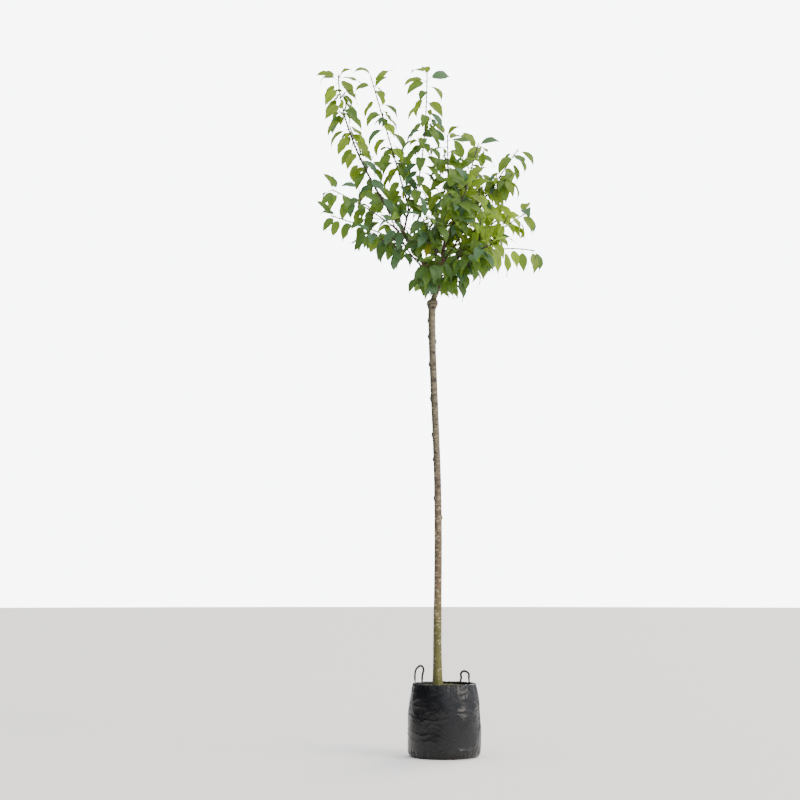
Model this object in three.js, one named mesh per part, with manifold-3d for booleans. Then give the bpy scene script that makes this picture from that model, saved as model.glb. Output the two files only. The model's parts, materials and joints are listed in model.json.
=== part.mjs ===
// Sapling with root ball: a young top-grafted ornamental tree that stands in a filled black
// grow bag with two lifting loops. Millimetres, +Z up. The origin is the centre of the bag's
// flat underside, the photograph's camera looks along +Y, and +X is to its right.

import * as THREE from "three";
import { mergeVertices } from "three/addons/utils/BufferGeometryUtils.js";
import Module from "manifold-3d";

const wasm = await Module();
wasm.setup();

// Clearances
const GAP = 0.3; // between solids that touch on the real plant
const WELD = 0.02; // fused corners nearer than this become one
const LEAF_CLEAR = 5; // between a leaf or twig and a limb that it must not touch
const SPACE_CLEAR = 8; // how much nearer a twig lies to its own stem than to another mass's
const SPACE_LAP = 50; // how far a leaf's tip may pass that border, where it touches nothing

// Grow bag
const BAG_HEIGHT = 388;
const BAG_FOOT_RADIUS = 168; // where the flat underside ends
const BAG_CORNER = 30; // height of the rounded bottom edge
const BAG_WIDE_RADIUS = 199;
const BAG_WIDE_HEIGHT = 62;
const BAG_RIM_RADIUS = 169;
const BAG_SHOULDER = 3; // the higher, the nearer to the rim the film starts to turn in
const BAG_WALL = 3;
const BAG_SIDES = 32;
const SOIL_RIM_DROP = 16; // soil below the rim at the wall
const SOIL_TOP = 380; // the soil's flat middle, where the trunk is cut
const SOIL_FLAT_RADIUS = 78;

// Lifting loops: the corners of the bag's rim that each leg leaves, counted from +X, the
// loop's height, how far its top leans in over the bag and its width against its legs'
const LOOPS = [
  { name: "handle_left", legs: [14, 12], height: 86, lean: 14, bow: 1 },
  { name: "handle_right", legs: [5, 3], height: 56, lean: 4, bow: 0.85 },
];
const STRAP_WIDTH = 12;
const STRAP_THICK = 2.4;
const STRAP_TAIL = 34; // length of each leg below the rim

// Trunk centre line: height and sideways place, from the soil up to the graft and the fork
const TRUNK_LINE = [
  [380, -36],
  [640, -35.5],
  [900, -32],
  [1180, -29.5],
  [1440, -31.5],
  [1716, -39.5],
  [2051, -52.5],
  [2260, -59],
  [2485, -57],
  [2526, -43],
  [2566, -27],
];
const TRUNK_SIDES = 10;
const TRUNK_RINGS = 20;
const FOOT_RADIUS = 23;
const STEM_RADIUS = 19.4; // at the slim middle of the stem
const STEM_TOP_RADIUS = 20.4; // just under the graft
const SLIM_HEIGHT = 1700;
const FLARE = 6; // the root flare's extra radius at the soil
const FLARE_HEIGHT = 85;
const GRAFT_HEIGHT = 2478;
const GRAFT_SWELL = 12.6;
const GRAFT_SPREAD = 24;
const SCION_RADIUS = 17.2; // the grafted wood above the knob
// Healed side shoots: height, turn about the trunk and size of each knob
const KNOBS = [
  { z: 2382, turn: 190, size: 9 },
  { z: 2290, turn: 172, size: 9 },
  { z: 2262, turn: 8, size: 8 },
  { z: 2134, turn: 168, size: 9 },
  { z: 1940, turn: 184, size: 10 },
  { z: 1738, turn: 176, size: 9 },
  { z: 1602, turn: 188, size: 8 },
  { z: 1390, turn: 174, size: 8 },
  { z: 1281, turn: -6, size: 8 },
  { z: 2060, turn: -95, size: 8 },
  { z: 1822, turn: -70, size: 8 },
  { z: 1520, turn: 60, size: 8 },
];

// Boughs. Each springs from its carrier at a share of the carrier's length and ends where its
// mass begins: turn about the trunk and lean from upright in degrees, length, lift of its
// middle as a share of the length, and the radii at its two ends.
const BOUGHS = [
  ["left_bough", "trunk", 1, -175, 32, 405, 0.03, 12, 7.5],
  ["centre_bough", "trunk", 1, -11, 8, 297, -0.02, 12, 7],
  ["back_bough", "trunk", 1, 103, 24, 130, -0.02, 9, 6.5],
  ["left_fork_bough", "left_bough", 0.9, 41, 15, 147, -0.04, 7, 5.5],
  ["inner_spur", "left_fork_bough", 0.7, -43, 30, 76, -0.03, 5, 4.5],
  ["left_upper_spur", "left_bough", 0.8, -155, 57, 70, -0.04, 5, 4.5],
  ["left_middle_spur", "left_bough", 0.62, 157, 62, 70, -0.04, 5, 4.5],
  ["left_lower_spur", "left_bough", 0.42, -163, 67, 70, -0.04, 5, 4.5],
  ["left_front_spur", "left_bough", 0.52, -128, 68, 60, -0.04, 5, 4.5],
  ["back_left_bough", "left_bough", 0.28, 127, 56, 95, -0.04, 7, 5.5],
  ["right_upper_bough", "centre_bough", 0.45, 15, 34, 150, -0.04, 7.5, 5.5],
  ["right_outer_bough", "centre_bough", 0.36, -6, 58, 90, -0.04, 6.5, 5],
  ["right_lower_bough", "centre_bough", 0.2, -14, 56, 90, -0.03, 6, 4.5],
  ["front_right_bough", "centre_bough", 0.27, -55, 77, 70, -0.04, 6, 5],
  ["back_right_bough", "centre_bough", 0.3, 49, 53, 110, -0.04, 7, 5.5],
  ["centre_spur", "centre_bough", 0.8, 35, 27, 90, -0.04, 5.5, 5],
  ["front_upper_spur", "centre_bough", 0.75, -64, 46, 60, -0.04, 5, 4.5],
  ["front_centre_spur", "centre_bough", 0.52, -116, 65, 60, -0.04, 5, 4.5],
  ["back_upper_spur", "centre_bough", 0.64, 66, 37, 100, -0.04, 6, 5],
  ["front_bough", "centre_bough", 0.08, -113, 77, 60, -0.04, 6.5, 5],
  ["low_right_spur", "centre_bough", 0.06, -38, 84, 50, -0.04, 5.5, 4.5],
  ["low_back_spur", "centre_bough", 0.14, 85, 74, 60, -0.04, 5.5, 4.5],
];
const BOUGH_SIDES = 6;
const BOUGH_STEPS = 3;

// Foliage masses, one from the tip of each bough: turn, lean and length from the first to the
// last point of the stem, hold (the share over which it keeps its bough's direction), number
// and length of side twigs, number of short spurs, droop of the leaves, distance between
// leaves on the stem and their size.
const MASSES = [
  ["left_tall", "left_bough", 168, 21.5, 984, 0.62, 1, 120, 3, 1.7, 22, 1],
  ["middle_tall", "left_fork_bough", 174, 15.5, 820, 0.02, 2, 120, 3, 1.7, 22, 1],
  ["inner_tall", "inner_spur", -44, 9, 757, 0.3, 1, 110, 2, 1.7, 22, 1],
  ["left_upper", "left_upper_spur", -168, 60, 433, 0.4, 2, 120, 0, 1.7, 28, 0.95],
  ["left_middle", "left_middle_spur", 166, 66, 473, 0.4, 2, 110, 0, 1.8, 30, 0.95],
  ["left_lower", "left_lower_spur", -150, 70, 280, 0.4, 1, 100, 0, 1.8, 38, 0.9],
  ["left_front", "left_front_spur", -106, 62, 280, 0.3, 2, 110, 0, 1.4, 34, 0.95],
  ["back_left", "back_left_bough", 132, 36, 480, 0.4, 3, 130, 0, 1.1, 47, 0.95],
  ["centre_tall", "centre_bough", -60, 3, 580, 0.3, 3, 140, 1, 1.5, 28, 1],
  ["centre_side", "centre_spur", 28, 19.5, 590, 0.3, 6, 160, 0, 1.6, 31, 1],
  ["right_upper", "right_upper_bough", 8, 33, 676, 0.3, 6, 190, 6, 2.1, 29, 1],
  ["right_outer", "right_outer_bough", -7, 57, 490, 0.3, 7, 160, 0, 1.9, 31, 1.05],
  ["right_lower", "right_lower_bough", -6, 79, 470, 0.5, 1, 100, 0, 2.9, 48, 1],
  ["front_right", "front_right_bough", -49, 77, 366, 0.3, 4, 160, 0, 1.6, 28, 1],
  ["front_upper", "front_upper_spur", -66, 46, 371, 0.3, 4, 150, 0, 1.4, 29, 1.05],
  ["front_centre", "front_centre_spur", -108, 62, 306, 0.3, 4, 150, 0, 1.5, 28, 1.05],
  ["front_low", "front_bough", -98, 84, 275, 0.3, 3, 130, 0, 2, 30, 0.95],
  ["low_right", "low_right_spur", -36, 60, 240, 0.3, 2, 110, 0, 1.7, 28, 1],
  ["low_back", "low_back_spur", 88, 54, 323, 0.3, 3, 140, 0, 1.6, 41, 1],
  ["back_low", "back_bough", 66, 34, 480, 0.3, 5, 170, 0, 1.2, 44, 1],
  ["back_right", "back_right_bough", 43, 51, 540, 0.3, 6, 180, 0, 1.3, 47, 1],
  ["back_upper", "back_upper_spur", 64, 23, 619, 0.3, 5, 170, 0, 1.2, 45, 1],
];
const STEM_TIP = 3;
const STEM_STEP = 115; // a stem has one ring about this far apart
const STEM_SHARE = 0.95; // a stem's first radius as a share of its bough's last
const TWIG_BASE = 3.2;
const TWIG_TIP = 2;
const SPUR_LENGTH = 42;
const TWIG_SIDES = 3;
const BARE = 0.12; // share of each stem that is bare, at its foot
const TWIG_BARE = 22;
const SPIRAL = 144; // degrees from one leaf to the next
const TWIG_SPIRAL = 137.5;
const LEAF_LENGTH = 145; // with its stalk
const LEAF_WIDTH = 56;
const LEAF_THICK = 3.6;
const LEAF_SPREAD = 26; // leaves whose middles would lie nearer than this are skipped
const PERK_DROOP = 2.4; // leaves near a tip stand up more, unless their mass droops this much
const PERK_LEAVES = 2.5; // the standing up fades out over this many leaves
const TIP_PERK = 1.4; // and is stronger in the whorl at the tip
const TRIES = 5; // each time with a looser set of the leaf
const TIP_LEAVES = 4;
const SEED = 2640;

// Colours
const FILM = new THREE.MeshStandardMaterial({ color: 0x232428, roughness: 0.42, metalness: 0 });
const STRAP = new THREE.MeshStandardMaterial({ color: 0x1b1c1f, roughness: 0.6, metalness: 0 });
const SOIL = new THREE.MeshStandardMaterial({ color: 0x4a3a2a, roughness: 1, metalness: 0 });
const BARK = new THREE.MeshStandardMaterial({ color: 0x80705f, roughness: 0.85, metalness: 0 });
const YOUNG_BARK = new THREE.MeshStandardMaterial({ color: 0x6b4a2c, roughness: 0.75, metalness: 0 });
const LEAF = new THREE.MeshStandardMaterial({ color: 0x5f8a24, roughness: 0.6, metalness: 0 });

const UP = new THREE.Vector3(0, 0, 1);
const LIGHT = new THREE.Vector3(0.2, -1.3, 0.1); // the blades turn towards the open sky in front
const SWUNG = new THREE.Vector3(1, 0.4, 1); // and their stalks swing round to the sides
const radians = THREE.MathUtils.degToRad;

// Random numbers from 0 to 1 that are the same on every run
function seeded(seed) {
  let state = seed | 0;
  return () => {
    state = (state + 0x6d2b79f5) | 0;
    let t = Math.imul(state ^ (state >>> 15), 1 | state);
    t = (t + Math.imul(t ^ (t >>> 7), 61 | t)) ^ t;
    return ((t ^ (t >>> 14)) >>> 0) / 4294967296;
  };
}

// A step in a direction given by its turn about the trunk and its lean from upright
function polar(turn, lean, length) {
  const across = Math.sin(radians(lean)) * length;
  return new THREE.Vector3(
    Math.cos(radians(turn)) * across,
    Math.sin(radians(turn)) * across,
    Math.cos(radians(lean)) * length,
  );
}

// The part of a vector that lies square to an axis, at unit length
function squareTo(vector, axis) {
  return vector.clone().addScaledVector(axis, -vector.dot(axis)).normalize();
}

// Solids
function solidFrom(positions, triangles) {
  const mesh = new wasm.Mesh({
    numProp: 3,
    vertProperties: new Float32Array(positions.flatMap((p) => [p.x, p.y, p.z])),
    triVerts: new Uint32Array(triangles.flat()),
  });
  return new wasm.Manifold(mesh);
}

// Closed skin over rings of equal count, with a flat fan at each end. The other diagonal of
// each quad is for a solid that lies against a skin whose rings run the other way.
function skin(rings, otherDiagonal = false) {
  const sides = rings[0].length;
  const triangles = [];
  for (let i = 0; i + 1 < rings.length; i++) {
    for (let s = 0; s < sides; s++) {
      const a = i * sides + s;
      const b = i * sides + ((s + 1) % sides);
      if (otherDiagonal) triangles.push([a, b, a + sides], [b, b + sides, a + sides]);
      else triangles.push([a, b, b + sides], [a, b + sides, a + sides]);
    }
  }
  const last = (rings.length - 1) * sides;
  for (let s = 1; s + 1 < sides; s++) {
    triangles.push([0, s + 1, s], [last, last + s, last + s + 1]);
  }
  return solidFrom(rings.flat(), triangles);
}

// A tapering limb along a curve: its rings stand square to the curve
function limb(curve, radiusAt, sides, steps, grow = 0) {
  const rings = [];
  const spread = grow / Math.cos(Math.PI / sides);
  for (let i = 0; i <= steps; i++) {
    const t = i / steps;
    const along = curve.getTangent(t);
    const first = squareTo(curve.sideways, along);
    const second = along.clone().cross(first);
    const end = i === 0 ? -grow : i === steps ? grow : 0;
    const middle = curve.getPoint(t).addScaledVector(along, end);
    const radius = radiusAt(t) + spread;
    rings.push(
      Array.from({ length: sides }, (_, s) => {
        const angle = (2 * Math.PI * s) / sides;
        return middle
          .clone()
          .addScaledVector(first, Math.cos(angle) * radius)
          .addScaledVector(second, Math.sin(angle) * radius);
      }),
    );
  }
  return skin(rings);
}

// The curve of a bough, stem or twig: three points, the middle one pulls it round
function bend(start, pull, end) {
  const curve = new THREE.QuadraticBezierCurve3(start, pull, end);
  const plane = pull.clone().sub(start).cross(end.clone().sub(start));
  curve.sideways = plane.length() > 1 ? plane.normalize() : new THREE.Vector3(0.8, 0.6, 0);
  return curve;
}

// One whole body: scraps that a cut leaves loose and hollows that fusing seals are dropped
function wholeBody(solid) {
  const bodies = solid.decompose().filter((body) => body.volume() > 0);
  return bodies.reduce((a, b) => (b.volume() > a.volume() ? b : a));
}

function toMesh(name, solid, material) {
  const { numProp, vertProperties, triVerts } = solid.getMesh();
  const positions = [];
  for (let i = 0; i < vertProperties.length; i += numProp) {
    positions.push(vertProperties[i], vertProperties[i + 1], vertProperties[i + 2]);
  }
  const geometry = new THREE.BufferGeometry();
  geometry.setAttribute("position", new THREE.Float32BufferAttribute(positions, 3));
  geometry.setIndex(Array.from(triVerts));
  const mesh = new THREE.Mesh(geometry, material);
  mesh.name = name;
  return mesh;
}

// A geometry made by three.js as a solid
function solidOf(geometry) {
  geometry.deleteAttribute("normal");
  geometry.deleteAttribute("uv");
  const merged = mergeVertices(geometry, 1e-3);
  return new wasm.Manifold(
    new wasm.Mesh({
      numProp: 3,
      vertProperties: merged.attributes.position.array,
      triVerts: new Uint32Array(merged.index.array),
    }),
  );
}

// Grow bag: film with upright folds that deepen to the gathered rim
function bagRadius(angle, height) {
  let radius;
  if (height <= BAG_CORNER) {
    const t = height / BAG_CORNER;
    const round = Math.sqrt(1 - (1 - t) * (1 - t));
    radius = BAG_FOOT_RADIUS + (BAG_WIDE_RADIUS - 3 - BAG_FOOT_RADIUS) * round;
  } else if (height <= BAG_WIDE_HEIGHT) {
    const t = (height - BAG_CORNER) / (BAG_WIDE_HEIGHT - BAG_CORNER);
    radius = BAG_WIDE_RADIUS - 3 + 3 * Math.sin((t * Math.PI) / 2);
  } else {
    const t = (height - BAG_WIDE_HEIGHT) / (BAG_HEIGHT - BAG_WIDE_HEIGHT);
    radius = BAG_WIDE_RADIUS + (BAG_RIM_RADIUS - BAG_WIDE_RADIUS) * Math.pow(t, BAG_SHOULDER);
  }
  const up = height / BAG_HEIGHT;
  const folds = Math.sin(7 * angle + 1.3) + 0.8 * Math.sin(12 * angle + 0.4 + 2 * up);
  const sag = Math.sin(3 * angle + 9 * up) + 0.7 * Math.sin(5 * angle - 14 * up + 1);
  return radius + folds * 1.6 * up * up + sag * 1.3 * Math.sin(Math.PI * up);
}

function bagRing(height, inset) {
  return Array.from({ length: BAG_SIDES }, (_, s) => {
    const angle = (2 * Math.PI * s) / BAG_SIDES;
    const radius = bagRadius(angle, height) - inset;
    return new THREE.Vector3(Math.cos(angle) * radius, Math.sin(angle) * radius, height);
  });
}

const BAG_LEVELS = [0, 7, BAG_CORNER, BAG_WIDE_HEIGHT, 190, 290, 352, BAG_HEIGHT];

// The film as one skin: up the outside, over the rim and down the inside to the floor
function growBag() {
  const outside = BAG_LEVELS.map((z) => bagRing(z, 0));
  const inside = [BAG_WALL, ...BAG_LEVELS.slice(2)].reverse().map((z) => bagRing(z, BAG_WALL));
  return skin([...outside, ...inside]);
}

// Substrate: fills the bag, highest and flat where the trunk stands. Its wall follows the
// film's own rings, so its last one lies on the straight line between the top two.
function substrate() {
  const inset = BAG_WALL + GAP + 0.1;
  const wall = BAG_LEVELS.slice(2).map((z) => bagRing(z, inset));
  const [below, rim] = wall.slice(-2);
  const share = (BAG_HEIGHT - SOIL_RIM_DROP - BAG_LEVELS.at(-2)) / (BAG_HEIGHT - BAG_LEVELS.at(-2));
  const edge = below.map((p, i) => p.clone().lerp(rim[i], share));
  const inward = (radius, height) =>
    edge.map((p) => {
      const k = radius / Math.hypot(p.x, p.y);
      return new THREE.Vector3(p.x * k, p.y * k, height);
    });
  const floor = bagRing(BAG_WALL, inset).map((p) => p.setZ(BAG_WALL + GAP));
  const top = [inward(SOIL_FLAT_RADIUS + 45, SOIL_TOP - 3), inward(SOIL_FLAT_RADIUS, SOIL_TOP)];
  return skin([floor, ...wall.slice(0, -1), edge, ...top], true);
}

// Lifting loop: a flat strap whose two legs lie on the outside of the bag under the rim
function liftingLoop({ legs, height, lean, bow }) {
  const below = BAG_LEVELS.at(-2);
  const offset = -STRAP_THICK / 2 - 2 * GAP;
  const low = bagRing(below, offset);
  const high = bagRing(BAG_HEIGHT, offset);
  const [a, b] = legs;
  const onWall = (corner, z) => {
    const share = (z - below) / (BAG_HEIGHT - below);
    return low[corner].clone().lerp(high[corner], share);
  };
  const inward = high[a].clone().add(high[b]).setZ(0).normalize().negate();
  const top = (share, rise) =>
    high[a]
      .clone()
      .lerp(high[b], 0.5 + (share - 0.5) * bow)
      .addScaledVector(inward, lean * rise * rise)
      .setZ(BAG_HEIGHT + height * rise);
  const path = new THREE.CatmullRomCurve3([
    onWall(a, BAG_HEIGHT - STRAP_TAIL),
    onWall(a, BAG_HEIGHT - 8),
    onWall(a, BAG_HEIGHT + 5),
    top(-0.02, 0.36),
    top(-0.04, 0.76),
    top(0.26, 0.99),
    top(0.7, 1),
    top(1.06, 0.78),
    top(1.04, 0.36),
    onWall(b, BAG_HEIGHT + 5),
    onWall(b, BAG_HEIGHT - 8),
    onWall(b, BAG_HEIGHT - STRAP_TAIL),
  ]);
  const steps = 20;
  const rings = [];
  for (let i = 0; i <= steps; i++) {
    const t = i / steps;
    const along = path.getTangent(t);
    const middle = path.getPoint(t);
    const out = squareTo(middle.clone().setZ(0), along);
    const side = along.clone().cross(out);
    const corners = [[1, 1], [1, -1], [-1, -1], [-1, 1]];
    rings.push(
      corners.map(([o, s]) =>
        middle
          .clone()
          .addScaledVector(out, (-o * STRAP_THICK) / 2)
          .addScaledVector(side, (s * STRAP_WIDTH) / 2),
      ),
    );
  }
  return skin(rings);
}

// Trunk: true taper and lean, root flare at the soil, graft knob and the first new wood
const trunkCurve = new THREE.CatmullRomCurve3(
  TRUNK_LINE.map(([z, x], i) => new THREE.Vector3(x, 4 * Math.sin(i * 0.9), z)),
);
trunkCurve.sideways = new THREE.Vector3(1, 0, 0);

function trunkRadius(z) {
  if (z > GRAFT_HEIGHT + GRAFT_SPREAD) return SCION_RADIUS;
  const swell = GRAFT_SWELL * Math.exp(-(((z - GRAFT_HEIGHT) / GRAFT_SPREAD) ** 2));
  const flare = FLARE * Math.exp(-(z - SOIL_TOP) / FLARE_HEIGHT);
  const low = Math.min((z - SOIL_TOP) / (SLIM_HEIGHT - SOIL_TOP), 1);
  const high = Math.max((z - SLIM_HEIGHT) / (GRAFT_HEIGHT - SLIM_HEIGHT), 0);
  const taper =
    FOOT_RADIUS + (STEM_RADIUS - FOOT_RADIUS) * low + (STEM_TOP_RADIUS - STEM_RADIUS) * high;
  return taper + swell + flare;
}

function trunk(grow) {
  const rings = [];
  const foot = SOIL_TOP + GAP;
  const top = TRUNK_LINE.at(-1)[0];
  const spread = grow / Math.cos(Math.PI / TRUNK_SIDES);
  const heights = Array.from({ length: TRUNK_RINGS + 1 }, (_, i) => {
    const share = i / TRUNK_RINGS;
    return foot + (top - foot) * (share < 0.12 ? share * 0.6 : 0.072 + (share - 0.12) * 1.0545);
  });
  heights[TRUNK_RINGS] = top;
  for (const z of [GRAFT_HEIGHT - 26, GRAFT_HEIGHT - 10, GRAFT_HEIGHT + 8, GRAFT_HEIGHT + 24]) {
    heights.push(z);
  }
  heights.sort((a, b) => a - b);
  heights.forEach((z) => {
    const middle = trunkPoint(z);
    const radius = trunkRadius(z) + spread;
    const lift = z === top ? grow : 0;
    rings.push(
      Array.from({ length: TRUNK_SIDES }, (_, s) => {
        const angle = (2 * Math.PI * s) / TRUNK_SIDES;
        const flute = 1 + 0.06 * Math.cos(5 * angle) * Math.exp(-(z - SOIL_TOP) / 60);
        return new THREE.Vector3(
          middle.x + Math.cos(angle) * radius * flute,
          middle.y + Math.sin(angle) * radius * flute,
          z + lift,
        );
      }),
    );
  });
  return skin(rings);
}

// The trunk's middle at a height
function trunkPoint(z) {
  const line = TRUNK_LINE;
  const i = Math.min(Math.max(line.findIndex(([h]) => h > z) - 1, 0), line.length - 2);
  const index = z >= line.at(-1)[0] ? line.length - 2 : i;
  const t = (z - line[index][0]) / (line[index + 1][0] - line[index][0]);
  return trunkCurve.getPoint((index + t) / (line.length - 1)).setZ(z);
}

function knob({ z, turn, size }) {
  const middle = trunkPoint(z);
  const radius = trunkRadius(z) - size * 0.25;
  const ball = solidOf(new THREE.IcosahedronGeometry(size * 1.1, 0));
  return ball
    .scale([1, 1, 1.35])
    .translate([
      middle.x + Math.cos(radians(turn)) * radius,
      middle.y + Math.sin(radians(turn)) * radius,
      z,
    ]);
}

// Limbs, each with its solid, a copy grown by the gap and its line for distances
const limbs = new Map();
const FORK = trunkPoint(TRUNK_LINE.at(-1)[0]);

function lineOf(pointAt, radiusAt, steps) {
  return Array.from({ length: steps + 1 }, (_, i) => {
    const t = i / steps;
    return { point: pointAt(t), radius: radiusAt(t) };
  });
}

const trunkSolid = wasm.Manifold.union([trunk(0), ...KNOBS.map(knob)]);
limbs.set("trunk", {
  solid: wholeBody(trunkSolid),
  grown: trunk(GAP),
  line: lineOf(
    (t) => trunkPoint(2300 + (FORK.z - 2300) * t),
    (t) => trunkRadius(2300 + (FORK.z - 2300) * t),
    12,
  ),
});

for (const [name, carrier, at, turn, lean, length, lift, base, tip] of BOUGHS) {
  const from = carrier === "trunk" ? FORK : limbs.get(carrier).curve.getPoint(at);
  const start = from.clone();
  const end = start.clone().add(polar(turn, lean, length));
  const pull = start.clone().add(end).multiplyScalar(0.5).addScaledVector(UP, lift * length);
  const curve = bend(start, pull, end);
  const radiusAt = (t) => base + (tip - base) * t;
  let solid = limb(curve, radiusAt, BOUGH_SIDES, BOUGH_STEPS);
  for (const other of limbs.values()) solid = solid.subtract(other.grown);
  limbs.set(name, {
    solid: wholeBody(solid),
    grown: limb(curve, radiusAt, BOUGH_SIDES, BOUGH_STEPS, GAP),
    curve,
    tip,
    line: lineOf((t) => curve.getPoint(t), radiusAt, BOUGH_STEPS),
  });
}

// Distance from a point to a line of limb or stem points, less the radius there
function distance(point, line) {
  let least = Infinity;
  const step = new THREE.Vector3();
  const nearest = new THREE.Vector3();
  for (let i = 0; i + 1 < line.length; i++) {
    const a = line[i];
    const b = line[i + 1];
    step.subVectors(b.point, a.point);
    const along = nearest.subVectors(point, a.point).dot(step) / step.lengthSq();
    const t = Math.min(Math.max(along, 0), 1);
    nearest.copy(a.point).addScaledVector(step, t);
    least = Math.min(least, nearest.distanceTo(point) - (a.radius + (b.radius - a.radius) * t));
  }
  return least;
}

// Stems of the masses
const masses = MASSES.map((row, number) => {
  const [name, carrier, turn, lean, length, hold, twigs, twigLength, spurs, ...leaves] = row;
  const [droop, spacing, leafSize] = leaves;
  const bough = limbs.get(carrier);
  const along = bough.curve.getTangent(1);
  const start = bough.curve.getPoint(1).addScaledVector(along, GAP);
  const end = start.clone().add(polar(turn, lean, length));
  const curve = bend(start, start.clone().addScaledVector(along, hold * length), end);
  const base = bough.tip * STEM_SHARE;
  const radiusAt = (t) => base + (STEM_TIP - base) * t;
  const reach = twigLength + LEAF_LENGTH;
  const steps = Math.max(Math.round(length / STEM_STEP), 3);
  const line = lineOf((t) => curve.getPoint(t), radiusAt, 8);
  const rule = { twigs, twigLength, spurs, droop, spacing, leafSize, reach };
  return { name, number, curve, length, radiusAt, steps, line, ...rule };
});

// Everything placed so far: each piece with its mass and its box
const placed = [];
const leafMiddles = [];

function place(mass, solid) {
  const piece = { mass, solid, box: solid.boundingBox() };
  placed.push(piece);
  return piece;
}

function boxesMeet(a, b) {
  return [0, 1, 2].every((k) => a.min[k] < b.max[k] + 1 && b.min[k] < a.max[k] + 1);
}

// Whether a solid is clear of all that is placed, but for the twig it grows on
function isClear(solid, carrier) {
  const box = solid.boundingBox();
  return placed.every(
    (piece) => piece === carrier || !boxesMeet(box, piece.box) || solid.minGap(piece.solid, 1) > 0.4,
  );
}

// A point keeps to its mass's space when it is no further past the border to another mass's
// space than the lap, within its own mass's reach, and clear of every limb
function inSpace(mass, point, lap) {
  const own = distance(point, mass.line);
  if (own > mass.reach) return false;
  for (const other of masses) {
    if (other !== mass && distance(point, other.line) < own - lap) return false;
  }
  for (const other of limbs.values()) {
    if (distance(point, other.line) < LEAF_CLEAR) return false;
  }
  return true;
}

// A leaf: six corners and eight faces, folded up along its rib and bent down to its tip
function leaf(mass, twig, slot, foot, along, out, size, young) {
  const random = seeded(SEED + 5000 * mass.number + slot);
  for (let attempt = 0; attempt < TRIES; attempt++) {
    const loose = 0.45 + 0.35 * attempt;
    const swing = radians((random() - 0.5) * 50 * loose);
    const droop = mass.droop * (0.9 + 0.5 * loose * (random() - 0.5)) - 0.8 * young;
    const roll = radians((random() - 0.5) * 80 * loose);
    const length = LEAF_LENGTH * size * (0.86 + 0.2 * random());
    const turned = out.clone().applyAxisAngle(along, swing);
    const direction = turned
      .clone()
      .addScaledVector(along, 0.4 + 0.4 * young)
      .addScaledVector(UP, -droop)
      .normalize();
    const facing = turned.clone().multiplyScalar(0.7).addScaledVector(UP, 0.8).add(LIGHT);
    const upper = squareTo(facing, direction).applyAxisAngle(direction, roll);
    const side = direction.clone().cross(upper);
    const width = (LEAF_WIDTH / LEAF_LENGTH) * length;
    const at = (share, across, rise) =>
      foot
        .clone()
        .addScaledVector(direction, share * length)
        .addScaledVector(side, across * width)
        .addScaledVector(upper, rise * length);
    const thick = LEAF_THICK / 2 / length;
    const corners = [
      at(0, 0, 0),
      at(0.97, 0, -0.1),
      at(0.53, 0.5, 0.085),
      at(0.53, -0.5, 0.085),
      at(0.45, 0, 0.04 + thick),
      at(0.45, 0, 0.04 - thick),
    ];
    const [, tip, left, right, top] = corners;
    if (leafMiddles.some((middle) => middle.distanceTo(top) < LEAF_SPREAD * size)) continue;
    const tests = [tip, left, right, at(0.3, 0.28, 0.05), at(0.3, -0.28, 0.05)];
    tests.push(at(0.76, 0.24, 0), at(0.76, -0.24, 0), at(0.25, 0, 0.02));
    if (!tests.every((point) => inSpace(mass, point, SPACE_LAP))) continue;
    const solid = solidFrom(corners, [
      [0, 2, 4],
      [0, 4, 3],
      [0, 3, 5],
      [0, 5, 2],
      [1, 4, 2],
      [1, 3, 4],
      [1, 5, 3],
      [1, 2, 5],
    ]);
    if (!isClear(solid, twig)) continue;
    leafMiddles.push(top);
    place(mass, solid);
    return;
  }
}

// Leaves in a spiral along a stem or twig, and a whorl of them at a stem's tip
function dress(mass, { piece, curve, length, bare, spacing, size, phase, slot }) {
  const count = Math.max(Math.floor((length - bare) / spacing), 1);
  const perk = Math.min(Math.max(PERK_DROOP - mass.droop, 0), 1);
  const grow = (number, t, turn, scale, young) => {
    const along = curve.getTangent(t);
    const spun = squareTo(curve.sideways, along).applyAxisAngle(along, radians(turn));
    const out = squareTo(spun.multiply(SWUNG), along);
    const whole = size * scale * mass.leafSize;
    leaf(mass, piece, slot + number, curve.getPoint(t), along, out, whole, young);
  };
  for (let k = 0; k < (slot === 0 ? TIP_LEAVES : 1); k++) {
    grow(count + k, 0.985 - 0.015 * k, phase + (count + k) * SPIRAL, 0.95, TIP_PERK * perk);
  }
  for (let j = 0; j < count; j++) {
    const t = (bare + (j + 0.3) * spacing) / length;
    const young = perk * Math.max(0, 1 - (count - j) / PERK_LEAVES);
    if (t < 0.97) grow(j, t, phase + j * SPIRAL, 1, young);
  }
}

// A side twig or spur. One that would leave the space is tried shorter and then skipped.
function sideTwig(mass, at, turn, length, spur) {
  const along = mass.curve.getTangent(at);
  const out = squareTo(mass.curve.sideways, along).applyAxisAngle(along, radians(turn));
  const start = mass.curve.getPoint(at);
  for (const share of [1, 0.75, 0.5]) {
    const direction = out.clone().addScaledVector(along, 0.75).normalize();
    const reach = length * share;
    const end = start.clone().addScaledVector(direction, reach).addScaledVector(UP, reach * 0.16);
    const curve = bend(start, start.clone().addScaledVector(direction, reach * 0.5), end);
    if (![0.45, 0.7, 1].every((t) => inSpace(mass, curve.getPoint(t), -SPACE_CLEAR))) continue;
    const radiusAt = (t) => TWIG_BASE + (TWIG_TIP - TWIG_BASE) * t;
    const solid = limb(curve, radiusAt, TWIG_SIDES, spur ? 1 : 2);
    if (!isClear(solid, mass.stem)) continue;
    const piece = place(mass, solid);
    const bare = spur ? 12 : TWIG_BARE;
    const spacing = spur ? 13 : mass.spacing;
    const slot = 100 * (mass.shoots.length + 1);
    const size = spur ? 0.66 : 0.95;
    mass.shoots.push({ piece, curve, length: reach, bare, spacing, size, phase: turn, slot });
    return;
  }
}

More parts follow.
